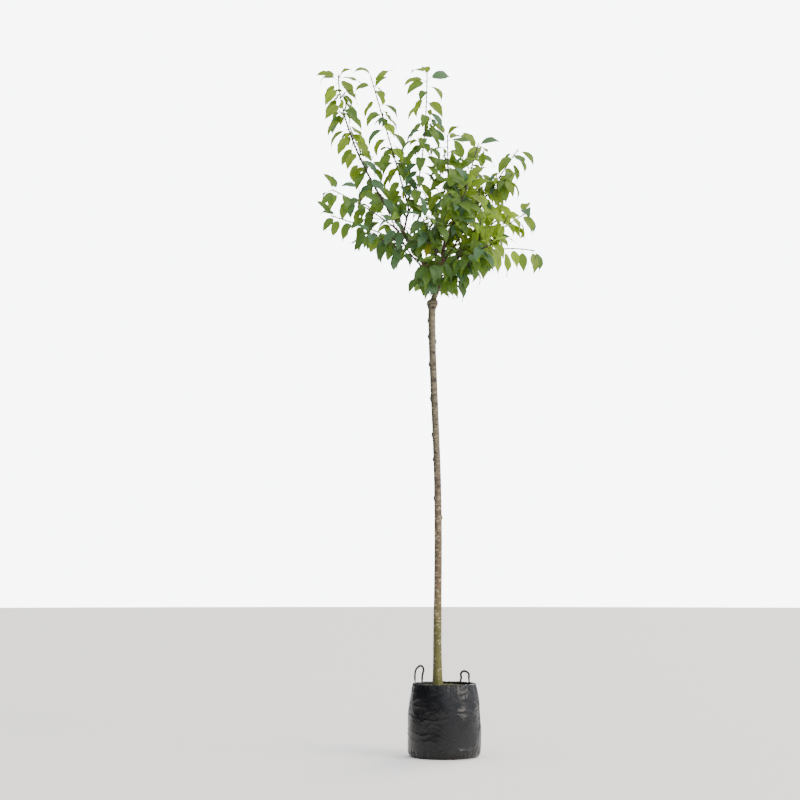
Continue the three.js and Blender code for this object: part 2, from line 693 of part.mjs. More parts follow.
for (const { solid } of limbs.values()) place(null, solid);
for (const mass of masses) {
  mass.stem = place(mass, limb(mass.curve, mass.radiusAt, TWIG_SIDES, mass.steps));
}
for (const mass of masses) {
  const random = seeded(SEED + 5000 * mass.number);
  const phase = random() * 360;
  const { stem: piece, curve, length, spacing } = mass;
  mass.shoots = [{ piece, curve, length, bare: BARE * length, spacing, size: 1, phase, slot: 0 }];
  for (let k = 0; k < mass.twigs; k++) {
    const at = 0.1 + (0.66 * (k + 0.3 + 0.4 * random())) / mass.twigs;
    const reach = mass.twigLength * (1.1 - 0.6 * at) * (0.85 + 0.3 * random());
    sideTwig(mass, at, phase + k * TWIG_SPIRAL, reach, false);
  }
  for (let k = 0; k < mass.spurs; k++) {
    const at = 0.52 + (0.3 * (k + random())) / mass.spurs;
    sideTwig(mass, at, phase + 70 + k * TWIG_SPIRAL, SPUR_LENGTH, true);
  }
}
for (const mass of masses) {
  for (const shoot of mass.shoots) dress(mass, shoot);
  const pieces = placed.filter((piece) => piece.mass === mass).map((piece) => piece.solid);
  mass.solid = wholeBody(wasm.Manifold.union(pieces).simplify(WELD));
}

const tree = new THREE.Group();
tree.name = "sapling_with_root_ball";
tree.add(toMesh("grow_bag", growBag(), FILM));
tree.add(toMesh("substrate", substrate(), SOIL));
for (const loop of LOOPS) tree.add(toMesh(loop.name, liftingLoop(loop), STRAP));
for (const [name, { solid }] of limbs) {
  tree.add(toMesh(name, solid, name === "trunk" ? BARK : YOUNG_BARK));
}
for (const mass of masses) tree.add(toMesh(`${mass.name}_foliage`, mass.solid, LEAF));

export default tree;
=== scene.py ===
import json
from math import atan, cos, exp, hypot, pi, radians, sin
from types import SimpleNamespace

import bmesh
import bpy
import numpy as np
from mathutils import Matrix, Vector, noise

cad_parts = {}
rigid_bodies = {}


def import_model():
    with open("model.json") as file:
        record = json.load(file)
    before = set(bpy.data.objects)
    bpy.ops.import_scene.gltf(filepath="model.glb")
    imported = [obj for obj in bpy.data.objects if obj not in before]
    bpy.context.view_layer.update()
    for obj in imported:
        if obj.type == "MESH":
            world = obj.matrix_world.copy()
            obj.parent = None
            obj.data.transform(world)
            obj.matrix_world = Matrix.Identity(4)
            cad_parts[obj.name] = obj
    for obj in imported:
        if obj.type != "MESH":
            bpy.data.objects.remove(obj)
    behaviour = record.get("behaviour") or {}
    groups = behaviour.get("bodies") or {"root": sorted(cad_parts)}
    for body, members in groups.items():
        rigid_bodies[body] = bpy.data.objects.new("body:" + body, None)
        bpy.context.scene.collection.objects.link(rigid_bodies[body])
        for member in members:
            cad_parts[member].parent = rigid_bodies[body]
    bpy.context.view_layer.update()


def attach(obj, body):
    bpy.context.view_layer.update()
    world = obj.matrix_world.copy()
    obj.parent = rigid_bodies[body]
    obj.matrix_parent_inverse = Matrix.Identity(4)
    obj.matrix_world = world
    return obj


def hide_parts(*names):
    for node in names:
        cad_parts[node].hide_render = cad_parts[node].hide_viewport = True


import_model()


# Grow bag
# A nursery bag of blown polyethylene film, filled until it stands as a slack drum. The film
# is gathered at the rim, creased where it sags and tucked under at the foot.
MM = 0.001
BAG_HEIGHT = 388
BAG_FOOT_RADIUS = 168
BAG_CORNER = 30
BAG_WIDE_RADIUS = 199
BAG_WIDE_HEIGHT = 62
BAG_SWELL = 3  # how much the film still widens from the corner to its widest height
BAG_RIM_RADIUS = 169
BAG_SHOULDER = 3  # the higher, the nearer to the rim the film starts to turn in
BAG_SIDES = 420
BAG_STEP = 3.6
FILM_EDGE = 2.4  # gathered thickness of the film at the rim
SOIL_LINE = 372  # where the substrate meets the film
# Rumples of the film: their size, how much they are squeezed from top to bottom, and a seed
FOLDS = 86, 1.7, 3.1
CRINKLES = 27, 0.9, 7.7
GATHERS = 17, 0.12, 1.9
TUCKS = 26, 0.35, 5.3
RAGS = 12, 1, 9.1
# Creases that catch the light: turn about the bag and height of the middle, length, tilt
# from level in degrees, width and depth
FILM_CREASES = [
    (-50, 350, 60, 62, 4, 5.0), (-46, 346, 52, 100, 4, 4.4), (-57, 343, 46, 28, 4, 4.0),
    (-42, 338, 44, 130, 4, 3.6), (-66, 250, 66, 12, 5, 4.6), (-44, 243, 72, -9, 5, 4.8),
    (-30, 262, 40, 20, 4, 3.6), (-80, 236, 60, 4, 7, 3.0), (-36, 214, 50, -16, 4, 3.6),
    (-15, 220, 190, 88, 6, 5.0), (-22, 150, 90, 80, 6, 2.6), (-98, 205, 46, 22, 7, 2.8),
    (-64, 300, 52, 84, 6, 2.6), (-150, 300, 60, 40, 7, 3.0), (-165, 255, 50, -25, 6, 2.6),
    (-128, 120, 80, 12, 8, 2.4), (-58, 46, 90, 8, 6, 5.2), (-40, 62, 60, 24, 5, 4.4),
    (-84, 32, 110, -4, 7, 3.4), (30, 280, 90, 30, 7, 3.2), (64, 180, 80, -14, 7, 3.2),
    (96, 310, 70, 76, 6, 3.0), (120, 150, 90, 10, 7, 3.2), (150, 230, 70, -30, 6, 3.0),
    (178, 120, 80, 16, 7, 3.0), (10, 110, 70, -12, 7, 3.0),
]
CREASE_RADIUS = 182  # from the bag's middle to the film where the creases lie
# Where the straps are welded on, so the film lies smooth there: turns about the bag, and how
# far out from its middle
WELD_TURNS = 157.5, 135, 56.25, 33.75
WELD_RADIUS = 170


def paint(code):
    """An sRGB hex colour as a linear one."""
    parts = [int(code[i : i + 2], 16) / 255 for i in (1, 3, 5)]
    return (*(c / 12.92 if c <= 0.04045 else ((c + 0.055) / 1.055) ** 2.4 for c in parts), 1)


def node(tree, kind, sockets=None, stops=(), **settings):
    """Adds a node with its settings, its sockets' values or the outputs that they link to, and
    a ramp's stops: place and colour. It gives back the node's outputs."""
    made = tree.nodes.new(kind)
    for key, value in settings.items():
        setattr(made, key, value)
    for key, value in (sockets or {}).items():
        if isinstance(value, bpy.types.NodeSocket):
            tree.links.new(value, made.inputs[key])
        else:
            made.inputs[key].default_value = value
    if stops:
        elements = made.color_ramp.elements
        while len(elements) < len(stops):
            elements.new(0.5)
        for element, (place, code) in zip(elements, stops):
            element.position = place
            element.color = paint(code)
    return made.outputs


def finish_of(name):
    """An empty material and its node tree."""
    material = bpy.data.materials.new(name)
    material.use_nodes = True
    material.node_tree.nodes.clear()
    return material, material.node_tree


def shell(name, rings, tags=None):
    """A closed mesh over rings of equal count, in mm, with a fan over each end."""
    rings = np.asarray(rings, float)
    count, sides = rings.shape[:2]
    ends = np.array([rings[0].mean(axis=0), rings[-1].mean(axis=0)])
    points = np.vstack([rings.reshape(-1, 3), ends]) * MM
    index = np.arange(count * sides).reshape(count, sides)
    after = np.roll(index, -1, axis=1)
    quads = np.stack([index[:-1], after[:-1], after[1:], index[1:]], axis=-1).reshape(-1, 4)
    faces = quads.tolist()
    faces += [(count * sides, b, a) for a, b in zip(index[0].tolist(), after[0].tolist())]
    faces += [(count * sides + 1, a, b) for a, b in zip(index[-1].tolist(), after[-1].tolist())]
    mesh = bpy.data.meshes.new(name)
    mesh.from_pydata(points.tolist(), [], faces)
    for key, values in (tags or {}).items():
        whole = np.concatenate([np.asarray(values, float).reshape(-1), [0, 0]])
        mesh.attributes.new(key, "FLOAT", "POINT").data.foreach_set("value", whole)
    mesh.shade_smooth()
    return mesh


def made_of(name, mesh, *materials):
    """An object at the origin that shows a mesh in its materials."""
    made = bpy.data.objects.new(name, mesh)
    for material in materials:
        mesh.materials.append(material)
    bpy.context.collection.objects.link(made)
    return made


def round_angles(count):
    return 2 * pi * np.arange(count) / count


def ring_at(radius, angles, height):
    """Points round the upright through the origin."""
    return np.stack([radius * np.cos(angles), radius * np.sin(angles), height + 0 * angles], axis=-1)


def swing_from(turn, angle):
    """Angles counted from a turn in degrees, up to half a turn each way."""
    return (angle - radians(turn) + pi) % (2 * pi) - pi


def noise_at(points):
    return np.array([noise.noise(Vector(p)) for p in np.reshape(points, (-1, 3))])


def hill(away, width, power=2):
    """A rounded hump: 1 in its middle, falling off with the distance away from it."""
    return np.exp(-((away / width) ** power))


def ridges(points, size, squeeze, seed):
    """Noise with sharp crests on a cloud of points, up to 1, for folds of one size."""
    return 1 - np.abs(noise_at(points / size * np.array([1, 1, squeeze]) + seed)) * 2.2


def bag_radius(angle, height):
    """The filled bag's outside radius, with its upright folds and its sag."""
    corner = np.clip(height / BAG_CORNER, 0, 1)
    widening = BAG_WIDE_RADIUS - BAG_SWELL - BAG_FOOT_RADIUS
    low = BAG_FOOT_RADIUS + widening * np.sqrt(1 - (1 - corner) ** 2)
    swell = np.clip((height - BAG_CORNER) / (BAG_WIDE_HEIGHT - BAG_CORNER), 0, 1)
    rise = np.clip((height - BAG_WIDE_HEIGHT) / (BAG_HEIGHT - BAG_WIDE_HEIGHT), 0, 1)
    high = (BAG_RIM_RADIUS - BAG_WIDE_RADIUS) * rise**BAG_SHOULDER
    radius = low + BAG_SWELL * np.sin(swell * pi / 2) + high
    up = height / BAG_HEIGHT
    folds = np.sin(7 * angle + 1.3) + 0.8 * np.sin(12 * angle + 0.4 + 2 * up)
    sag = np.sin(3 * angle + 9 * up) + 0.7 * np.sin(5 * angle - 14 * up + 1)
    return radius + folds * 1.6 * up * up + sag * 1.3 * np.sin(pi * up)


def film_relief(angle, height, points):
    """How far folds, creases and crinkles move the film, in mm."""
    slack = 0.55 + 0.45 * np.cos(angle + 0.9)  # the film is most rumpled at its right
    rumples = ridges(points, *FOLDS) ** 3 * 1.1 + ridges(points, *CRINKLES) ** 5 * 0.7 * slack
    relief = (rumples - 0.7) * np.clip(height / 40, 0.25, 1)
    gathers = ridges(points, *GATHERS) - 0.4 + 0.3 * np.sin(41 * angle)
    relief += 2.2 * gathers * np.exp(-(BAG_HEIGHT - height) / 22)
    relief += 4.2 * (ridges(points, *TUCKS) - 0.45) * hill(height - 26, 20)
    for turn, middle, length, tilt, width, depth in FILM_CREASES:
        across, up = swing_from(turn, angle) * CREASE_RADIUS, height - middle
        c, s = cos(radians(tilt)), sin(radians(tilt))
        along = across * c + up * s
        off = (up * c - across * s) + 3 * np.sin(along / 11)
        crest = np.exp(-np.abs(off) / width) - 0.7 * np.exp(-np.abs(off + 9) / 9)
        relief += depth * hill(along, length / 2, 4) * crest
    for turn in WELD_TURNS:
        near = hill(swing_from(turn, angle) * WELD_RADIUS, 13) * np.clip((height - 335) / 15, 0, 1)
        relief = relief * (1 - near) - 0.8 * near
    return relief


bag_angles = round_angles(BAG_SIDES)
bag_rings = []
for height in (0, 1.5, 4, 8, 13, 18, 24, *np.arange(BAG_CORNER, BAG_HEIGHT - 2, BAG_STEP), BAG_HEIGHT):
    plain = bag_radius(bag_angles, height)
    spots = ring_at(plain, bag_angles, height)
    moved = plain + (film_relief(bag_angles, height, spots) if height > 1 else -1.0)
    ragged = 2.6 * (ridges(spots, *RAGS) - 0.5) if height == BAG_HEIGHT else 0
    bag_rings.append(ring_at(moved, bag_angles, height + ragged))
rim = bag_rings[-1]
reach = np.hypot(rim[:, 0], rim[:, 1])
for drop, inset in ((0.2, FILM_EDGE), (8, FILM_EDGE + 0.6), (18, FILM_EDGE + 1), (34, 7)):
    inner = (reach - inset)[:, None] * rim[:, :2] / reach[:, None]
    bag_rings.append(np.column_stack([inner, rim[:, 2] - drop]))

# Carbon-black low-density polyethylene, blown: satin, paler where dust and haze lie on it
film, tree = finish_of("blown_black_polyethylene_film")
spot = node(tree, "ShaderNodeTexCoord")["Object"]
haze = node(tree, "ShaderNodeTexNoise", {"Vector": spot, "Scale": 9, "Detail": 5, "Roughness": 0.6})["Fac"]
low = node(tree, "ShaderNodeMapRange", {
    "Value": node(tree, "ShaderNodeSeparateXYZ", {"Vector": spot})["Z"],
    "From Min": 0.16, "From Max": 0, "To Max": 0.5,
})["Result"]
dusty = node(tree, "ShaderNodeMath", {0: haze, 1: low}, operation="MULTIPLY")["Value"]
tone = node(tree, "ShaderNodeValToRGB", {"Fac": haze}, [(0.35, "#0a0a0d"), (0.7, "#121316")])["Color"]
dusted = node(tree, "ShaderNodeMix", {"Factor": dusty, "A": tone, "B": paint("#24231f")}, data_type="RGBA")
# Crinkles finer than the mesh: about 6 mm apart
crinkle = node(
    tree, "ShaderNodeTexNoise", {"Vector": spot, "Scale": 60, "Detail": 3, "Roughness": 0.5},
    noise_type="RIDGED_MULTIFRACTAL",
)["Fac"]
relief = node(tree, "ShaderNodeBump", {"Height": crinkle, "Strength": 0.25, "Distance": 0.004})["Normal"]
gloss = node(tree, "ShaderNodeMapRange", {
    "Value": haze, "From Min": 0.3, "From Max": 0.75, "To Min": 0.2, "To Max": 0.36,
})["Result"]
body = node(tree, "ShaderNodeBsdfPrincipled", {
    "Base Color": dusted["Result"], "Roughness": gloss, "IOR": 1.51, "Specular IOR Level": 0.3,
    "Normal": relief,
})
node(tree, "ShaderNodeOutputMaterial", {"Surface": body["BSDF"]})

grow_bag = made_of("film_bag", shell("film_bag", bag_rings), film)
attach(grow_bag, "root")
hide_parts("grow_bag")


# Lifting loops
# Flat tape woven from black polypropylene slit film, welded by its two ends to the outside
# of the bag just under the rim. Between its ends the tape is rolled into a cord. Each loop
# stands up and leans in a little.
LOOPS = [
    {"name": "handle_left", "legs": WELD_TURNS[:2], "height": 86, "lean": 14, "bow": 1},
    {"name": "handle_right", "legs": WELD_TURNS[2:], "height": 56, "lean": 4, "bow": 0.85},
]
# The loop's course from leg to leg: share of the way across and share of its height
LOOP_COURSE = [(-0.02, 0.36), (-0.04, 0.76), (0.26, 0.99), (0.7, 1), (1.06, 0.78), (1.04, 0.36)]
TAPE_WIDTH = 12
TAPE_THICK = 2.4
TAPE_TAIL = 34
TAPE_STEPS = 90
TAPE_SIDES = 16
TAPE_CLEAR = 0.6
LEG_LINE = 352  # the film is taken as straight from here up to the rim, under the legs
ROLLED_WIDTH = 13
ROLLED_THICK = 10


def curve_point(points, share):
    """A smooth curve through the points, at a share of the way from the first to the last."""
    place = min(max(share, 0), 1) * (len(points) - 1)
    index = min(int(place), len(points) - 2)
    t = place - index
    p1, p2 = points[index], points[index + 1]
    p0 = points[index - 1] if index > 0 else 2 * p1 - p2
    p3 = points[index + 2] if index + 2 < len(points) else 2 * p2 - p1
    d0, d1, d2 = (max(np.linalg.norm(b - a), 1e-6) ** 0.5 for a, b in ((p0, p1), (p1, p2), (p2, p3)))
    m1 = ((p1 - p0) / d0 - (p2 - p0) / (d0 + d1) + (p2 - p1) / d1) * d1
    m2 = ((p2 - p1) / d1 - (p3 - p1) / (d1 + d2) + (p3 - p2) / d2) * d1
    bent = (2 * p1 - 2 * p2 + m1 + m2) * t**3 + (3 * p2 - 3 * p1 - 2 * m1 - m2) * t**2
    return bent + m1 * t + p1


def unit(vector):
    return vector / np.linalg.norm(vector)


def square_to(vector, axis):
    """The part of a vector that lies square to an axis, at unit length."""
    return unit(vector - axis * np.dot(vector, axis))


def on_film(turn, height):
    """A point on the bag's outside, where the tape's middle lies."""
    angle, share = radians(turn), (height - LEG_LINE) / (BAG_HEIGHT - LEG_LINE)
    low, high = (float(bag_radius(angle, z)) for z in (LEG_LINE, BAG_HEIGHT))
    reach = (1 - share) * low + share * high + (TAPE_THICK / 2 + TAPE_CLEAR)
    return np.array([cos(angle) * reach, sin(angle) * reach, height])


# Woven polypropylene tape: matt black, with slit strands about 2 mm wide crossing each other
tape, tree = finish_of("woven_black_polypropylene_tape")
weave = node(tree, "ShaderNodeTexChecker", {
    "Vector": node(tree, "ShaderNodeUVMap", uv_map="tape")["UV"],
    "Scale": 500, "Color1": paint("#141518"), "Color2": paint("#26272b"),
})
relief = node(
    tree, "ShaderNodeBump", {"Height": weave["Fac"], "Strength": 0.5, "Distance": 0.0006}
)["Normal"]
body = node(tree, "ShaderNodeBsdfPrincipled", {
    "Base Color": weave["Color"], "Roughness": 0.55, "IOR": 1.49, "Normal": relief,
})
node(tree, "ShaderNodeOutputMaterial", {"Surface": body["BSDF"]})

corners = 2 * pi * (np.arange(TAPE_SIDES) + 0.5) / TAPE_SIDES
wide, thick = np.cos(corners), np.sin(corners)
flat = np.column_stack([
    np.sign(wide) * np.abs(wide) ** 0.3 * TAPE_WIDTH / 2,
    np.sign(thick) * np.abs(thick) ** 0.6 * TAPE_THICK / 2,
])
flat[:, 1] -= 0.5 * (flat[:, 0] / 5) ** 2
rolled = np.column_stack([wide * ROLLED_WIDTH / 2, thick * ROLLED_THICK / 2])
for loop in LOOPS:
    first, last = loop["legs"]
    a, b = on_film(first, BAG_HEIGHT), on_film(last, BAG_HEIGHT)
    inward = -unit((a + b) * np.array([1, 1, 0]))

    def top(share, rise):
        across = a + (b - a) * (0.5 + (share - 0.5) * loop["bow"])
        lean = loop["lean"] * rise * rise
        return across * [1, 1, 0] + inward * lean + [0, 0, BAG_HEIGHT + loop["height"] * rise]

    route = [on_film(first, BAG_HEIGHT + z) for z in (-TAPE_TAIL, -8, 5)]
    route += [top(*spot) for spot in LOOP_COURSE]
    route += [on_film(last, BAG_HEIGHT + z) for z in (5, -8, -TAPE_TAIL)]
    tape_rings, run = [], [0.0]
    for i in range(TAPE_STEPS + 1):
        share = i / TAPE_STEPS
        middle = curve_point(route, share)
        ahead = unit(curve_point(route, share + 1e-3) - curve_point(route, share - 1e-3))
        outward = square_to(middle * [1, 1, 0], ahead)
        side = np.cross(ahead, outward)
        if tape_rings:
            run.append(run[-1] + float(np.linalg.norm(middle - np.mean(tape_rings[-1], axis=0))))
        round_share = float(np.clip((middle[2] - BAG_HEIGHT - 4) / 14, 0, 1))
        section = flat + (rolled - flat) * round_share
        tape_rings.append([middle + side * w + outward * t for w, t in section])
    mesh = shell(loop["name"] + "_tape", np.array(tape_rings)[:, ::-1])
    layer = mesh.uv_layers.new(name="tape")
    widths = flat[::-1, 0].tolist()
    for corner, vertex in enumerate(i.vertex_index for i in mesh.loops):
        ring, spot = divmod(vertex, TAPE_SIDES) if vertex < len(tape_rings) * TAPE_SIDES else (0, 0)
        layer.data[corner].uv = (run[ring] * MM, widths[spot] * MM)
    strap = made_of(loop["name"] + "_tape", mesh, tape)
    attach(strap, "root")
    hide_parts(loop["name"])


# Substrate
# Moist peat with composted bark, pressed round the roots and heaped a little at the stem.
# It is crumbly on top, with chips of bark and small cushions of moss on it.
SOIL_TOP = 380
SOIL_FLAT = 78
SOIL_EDGE = 150
SOIL_SIDES = 260
SOIL_INSET = 5.2  # from the film's outside
TRUNK_FOOT = (-36, 0)


def lumps(x, y, size, seed):
    return noise_at(np.stack([x / size, y / size, 0 * x + seed], axis=-1)).reshape(np.shape(x))


def soil_height(x, y):
    """The filling's surface: highest at the stem, lumpy, and lower towards the film."""
    from_stem = np.hypot(x - TRUNK_FOOT[0], y - TRUNK_FOOT[1])
    fall = np.clip((np.hypot(x, y) - SOIL_FLAT) / (SOIL_EDGE - SOIL_FLAT), 0, 1) ** 1.3
    heap = 4.5 * hill(from_stem, 42)
    rough = 5.0 * lumps(x, y, 34, 2.0) + 2.2 * lumps(x, y, 11, 5.0)
    return SOIL_TOP - 3.5 - (SOIL_TOP - SOIL_LINE) * fall + heap + rough * 0.7


def soil_ring(height, share=1.0, relief=False):
    angles = round_angles(SOIL_SIDES)
    ring = ring_at((bag_radius(angles, height) - SOIL_INSET) * share, angles, height)
    if relief:
        ring[:, 2] = soil_height(ring[:, 0], ring[:, 1])
    return ring


soil_rings = [soil_ring(height) for height in (4, 30, 62, 150, 240, 325)]
soil_rings += [soil_ring(SOIL_LINE, share, True) for share in np.linspace(1, 0.015, 64)]

# Damp peat and bark: dark brown, crumbly, with paler fibres about 3 mm long
peat, tree = finish_of("damp_peat_and_bark_substrate")
spot = node(tree, "ShaderNodeTexCoord")["Object"]
grain = node(
    tree, "ShaderNodeTexNoise", {"Vector": spot, "Scale": 160, "Detail": 8, "Roughness": 0.7}
)["Fac"]
patch = node(tree, "ShaderNodeTexNoise", {"Vector": spot, "Scale": 22, "Detail": 3})["Fac"]
crumb = node(
    tree, "ShaderNodeValToRGB", {"Fac": grain}, [(0.32, "#1f1812"), (0.55, "#3a2f24"), (0.75, "#63553f")]
)["Color"]
mossy = node(
    tree, "ShaderNodeMapRange", {"Value": patch, "From Min": 0.5, "From Max": 0.64, "To Max": 0.4}
)["Result"]
mixed = node(tree, "ShaderNodeMix", {"Factor": mossy, "A": crumb, "B": paint("#4c4828")}, data_type="RGBA")
relief = node(tree, "ShaderNodeBump", {"Height": grain, "Strength": 0.8, "Distance": 0.004})["Normal"]
body = node(
    tree, "ShaderNodeBsdfPrincipled", {"Base Color": mixed["Result"], "Roughness": 0.92, "Normal": relief}
)
node(tree, "ShaderNodeOutputMaterial", {"Surface": body["BSDF"]})

filling = made_of("filling", shell("filling", soil_rings), peat)
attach(filling, "root")
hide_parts("substrate")


# Loose top dressing
# Chips of composted bark and small cushions of moss that lie on the filling, scattered over
# its surface where it is nearly level.
CHIP_SIZE = 7  # longest side of a middling chip
CHIPS = 1500
MOSS_SIZE = 9
MOSSES = 260
DRESSED_RADIUS = 157
STEM_CLEAR = 31
GRID = 61  # points along each side of the grid that the pieces lie on
GRID_REACH = 150


def geometry_tree(name, sockets):
    """A Geometry Nodes tree with a geometry in and out and named inputs."""
    tree = bpy.data.node_groups.new(name, "GeometryNodeTree")
    for socket, kind in {"Geometry": "Geometry", **sockets}.items():
        tree.interface.new_socket(socket, in_out="INPUT", socket_type="NodeSocket" + kind)
    tree.interface.new_socket("Geometry", in_out="OUTPUT", socket_type="NodeSocketGeometry")
    return tree, node(tree, "NodeGroupInput")


def grown(name, carrier, tree, inputs):
    """Runs a Geometry Nodes tree on a carrier mesh and keeps the result as a plain mesh."""
    holder = made_of(name + "_carrier", carrier)
    modifier = holder.modifiers.new("growth", "NODES")
    modifier.node_group = tree
    for socket in tree.interface.items_tree:
        if socket.in_out == "INPUT" and socket.name in inputs:
            modifier[socket.identifier] = inputs[socket.name]
    graph = bpy.context.evaluated_depsgraph_get()
    mesh = bpy.data.meshes.new_from_object(holder.evaluated_get(graph))
    mesh.name = name
    bpy.data.objects.remove(holder)
    return made_of(name, mesh)


scatter, given = geometry_tree("scatter_on_surface", {
    "Piece": "Object", "Per Square Metre": "Float", "Smallest": "Float", "Largest": "Float",
    "Seed": "Int", "Material": "Material",
})
seed = given["Seed"]
spots = node(scatter, "GeometryNodeDistributePointsOnFaces", {
    "Mesh": given["Geometry"], "Density": given["Per Square Metre"], "Seed": seed,
})["Points"]
sizes = node(
    scatter, "FunctionNodeRandomValue", {2: given["Smallest"], 3: given["Largest"], "Seed": seed},
    data_type="FLOAT",
)
spin = node(
    scatter, "FunctionNodeRandomValue", {0: (-0.5, -0.5, 0), 1: (0.5, 0.5, 6.28), "Seed": seed},
    data_type="FLOAT_VECTOR",
)
chip = node(scatter, "GeometryNodeObjectInfo", {"Object": given["Piece"]})["Geometry"]
laid = node(scatter, "GeometryNodeInstanceOnPoints", {
    "Points": spots, "Instance": chip, "Rotation": spin[0], "Scale": sizes[1],
})["Instances"]
real = node(scatter, "GeometryNodeRealizeInstances", {"Geometry": laid})["Geometry"]
coloured = node(scatter, "GeometryNodeSetMaterial", {"Geometry": real, "Material": given["Material"]})
node(scatter, "NodeGroupOutput", {"Geometry": coloured["Geometry"]})


def lump(name, subdivisions, stretch, rough, seed):
    """A small uneven lump one unit long."""
    mesh = bpy.data.meshes.new(name)
    made = bmesh.new()
    bmesh.ops.create_icosphere(made, subdivisions=subdivisions, radius=0.5)
    for vertex in made.verts:
        vertex.co *= 1 + rough * noise.noise(vertex.co * 2.3 + Vector((seed, seed, seed)))
        vertex.co = Vector(a * b for a, b in zip(vertex.co, stretch))
    made.to_mesh(mesh)
    made.free()
    return bpy.data.objects.new(name, mesh)


def plain_finish(name, code, roughness):
    """A matt procedural finish with a slight mottle, for pieces a few millimetres across."""
    material, tree = finish_of(name)
    spot = node(tree, "ShaderNodeTexCoord")["Object"]
    mottle = node(tree, "ShaderNodeTexNoise", {"Vector": spot, "Scale": 260, "Detail": 2})["Fac"]
    value = node(tree, "ShaderNodeMapRange", {"Value": mottle, "To Min": 0.55, "To Max": 1.45})["Result"]
    tinted = node(tree, "ShaderNodeHueSaturation", {"Color": paint(code), "Value": value})["Color"]
    body = node(tree, "ShaderNodeBsdfPrincipled", {"Base Color": tinted, "Roughness": roughness})
    node(tree, "ShaderNodeOutputMaterial", {"Surface": body["BSDF"]})
    return material


soil_area = pi * 0.155**2  # in square metres, over which the pieces are strewn
top_grid = np.linspace(-GRID_REACH, GRID_REACH, GRID)
grid_x, grid_y = np.meshgrid(top_grid, top_grid)
keep = np.hypot(grid_x, grid_y) < DRESSED_RADIUS
patches = [
    (i * GRID + j, i * GRID + j + 1, (i + 1) * GRID + j + 1, (i + 1) * GRID + j)
    for i in range(GRID - 1)
    for j in range(GRID - 1)
    if keep[i : i + 2, j : j + 2].all()
    and hypot(top_grid[j] - TRUNK_FOOT[0], top_grid[i] - TRUNK_FOOT[1]) > STEM_CLEAR
]
grid_points = np.stack([grid_x, grid_y, soil_height(grid_x, grid_y) + 0.6], axis=-1).reshape(-1, 3) * MM
chip_form = lump("chip", 1, (1, 0.55, 0.28), 0.7, 1.0)
cushion_form = lump("cushion", 2, (1, 0.9, 0.42), 0.5, 4.0)
for name, count, size, form, finish, seed in (
    ("bark_chips", CHIPS, CHIP_SIZE, chip_form, plain_finish("composted_pine_bark", "#463a2e", 0.9), 11),
    ("moss_cushions", MOSSES, MOSS_SIZE, cushion_form, plain_finish("cushion_moss", "#585c2c", 0.95), 12),
):
    surface = bpy.data.meshes.new(name)
    surface.from_pydata(grid_points.tolist(), [], patches)
    dressing = grown(name, surface, scatter, {
        "Piece": form, "Per Square Metre": count / soil_area, "Smallest": 0.4 * size * MM,
        "Largest": 1.6 * size * MM, "Seed": seed, "Material": finish,
    })
    bpy.data.objects.remove(form)
    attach(dressing, "root")
    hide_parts("substrate")


# Trunk
# A rootstock stem grown straight in a nursery row, with smooth cherry bark: cross bands of
# corky pores, healed side shoots, and the graft's callus at its top where the crown was set.
# Its centre line is given as height and sideways place.
TRUNK_LINE = [
    (380, -36), (640, -35.5), (900, -32), (1180, -29.5), (1440, -31.5), (1716, -39.5),
    (2051, -52.5), (2260, -59), (2485, -57), (2526, -43), (2566, -27),
]
TRUNK_SIDES = 64
TRUNK_STEP = 3
FOOT_RADIUS = 23
STEM_RADIUS = 19.4
STEM_TOP_RADIUS = 20.4
SLIM_HEIGHT = 1700
FLARE = 6
FLARE_HEIGHT = 85
GRAFT_HEIGHT = 2478
GRAFT_SWELL = 12.6
GRAFT_SPREAD = 24
SCION_RADIUS = 17.2
# Healed side shoots: height, turn about the trunk and size
KNOBS = [
    (2382, 190, 9), (2290, 172, 9), (2262, 8, 8), (2134, 168, 9), (1940, 184, 10), (1738, 176, 9),
    (1602, 188, 8), (1390, 174, 8), (1281, -6, 8), (2060, -95, 8), (1822, -70, 8), (1520, 60, 8),
]
# Flat scars of rubbed-off buds on the stem's face: height, turn and size
SCARS = [
    (2451, -80, 11), (2197, -70, 11), (2135, -66, 8), (2045, -68, 11), (1905, -60, 8),
    (1794, -76, 7), (1640, -110, 7), (1450, -80, 7), (1200, -100, 6), (2330, 30, 8),
    (1980, 100, 8), (1700, 120, 7), (1000, 80, 6), (2400, 120, 8),
]
PORES = 620
PORE_SEED = 31
RINGS = 30  # dark lines where rows of pores have run together

trunk_points = [np.array([x, 4 * sin(i * 0.9), z], float) for i, (z, x) in enumerate(TRUNK_LINE)]


def trunk_point(z):
    """The trunk's middle at a height."""
    heights = [h for h, _ in TRUNK_LINE]
    index = min(max(sum(h <= z for h in heights) - 1, 0), len(heights) - 2)
    t = (z - heights[index]) / (heights[index + 1] - heights[index])
    point = curve_point(trunk_points, (index + t) / (len(heights) - 1))
    return np.array([point[0], point[1], z])


def trunk_radius(z):
    """Taper, root flare and the graft's swelling, with the grafted wood above it."""
    low = np.minimum((z - SOIL_TOP) / (SLIM_HEIGHT - SOIL_TOP), 1)
    high = np.maximum((z - SLIM_HEIGHT) / (GRAFT_HEIGHT - SLIM_HEIGHT), 0)
    swell = GRAFT_SWELL * hill(z - GRAFT_HEIGHT, GRAFT_SPREAD)
    flare = FLARE * np.exp(-(z - SOIL_TOP) / FLARE_HEIGHT)
    stem = FOOT_RADIUS + (STEM_RADIUS - FOOT_RADIUS) * low + (STEM_TOP_RADIUS - STEM_RADIUS) * high
    return np.where(z > GRAFT_HEIGHT + GRAFT_SPREAD, SCION_RADIUS, stem + swell + flare)


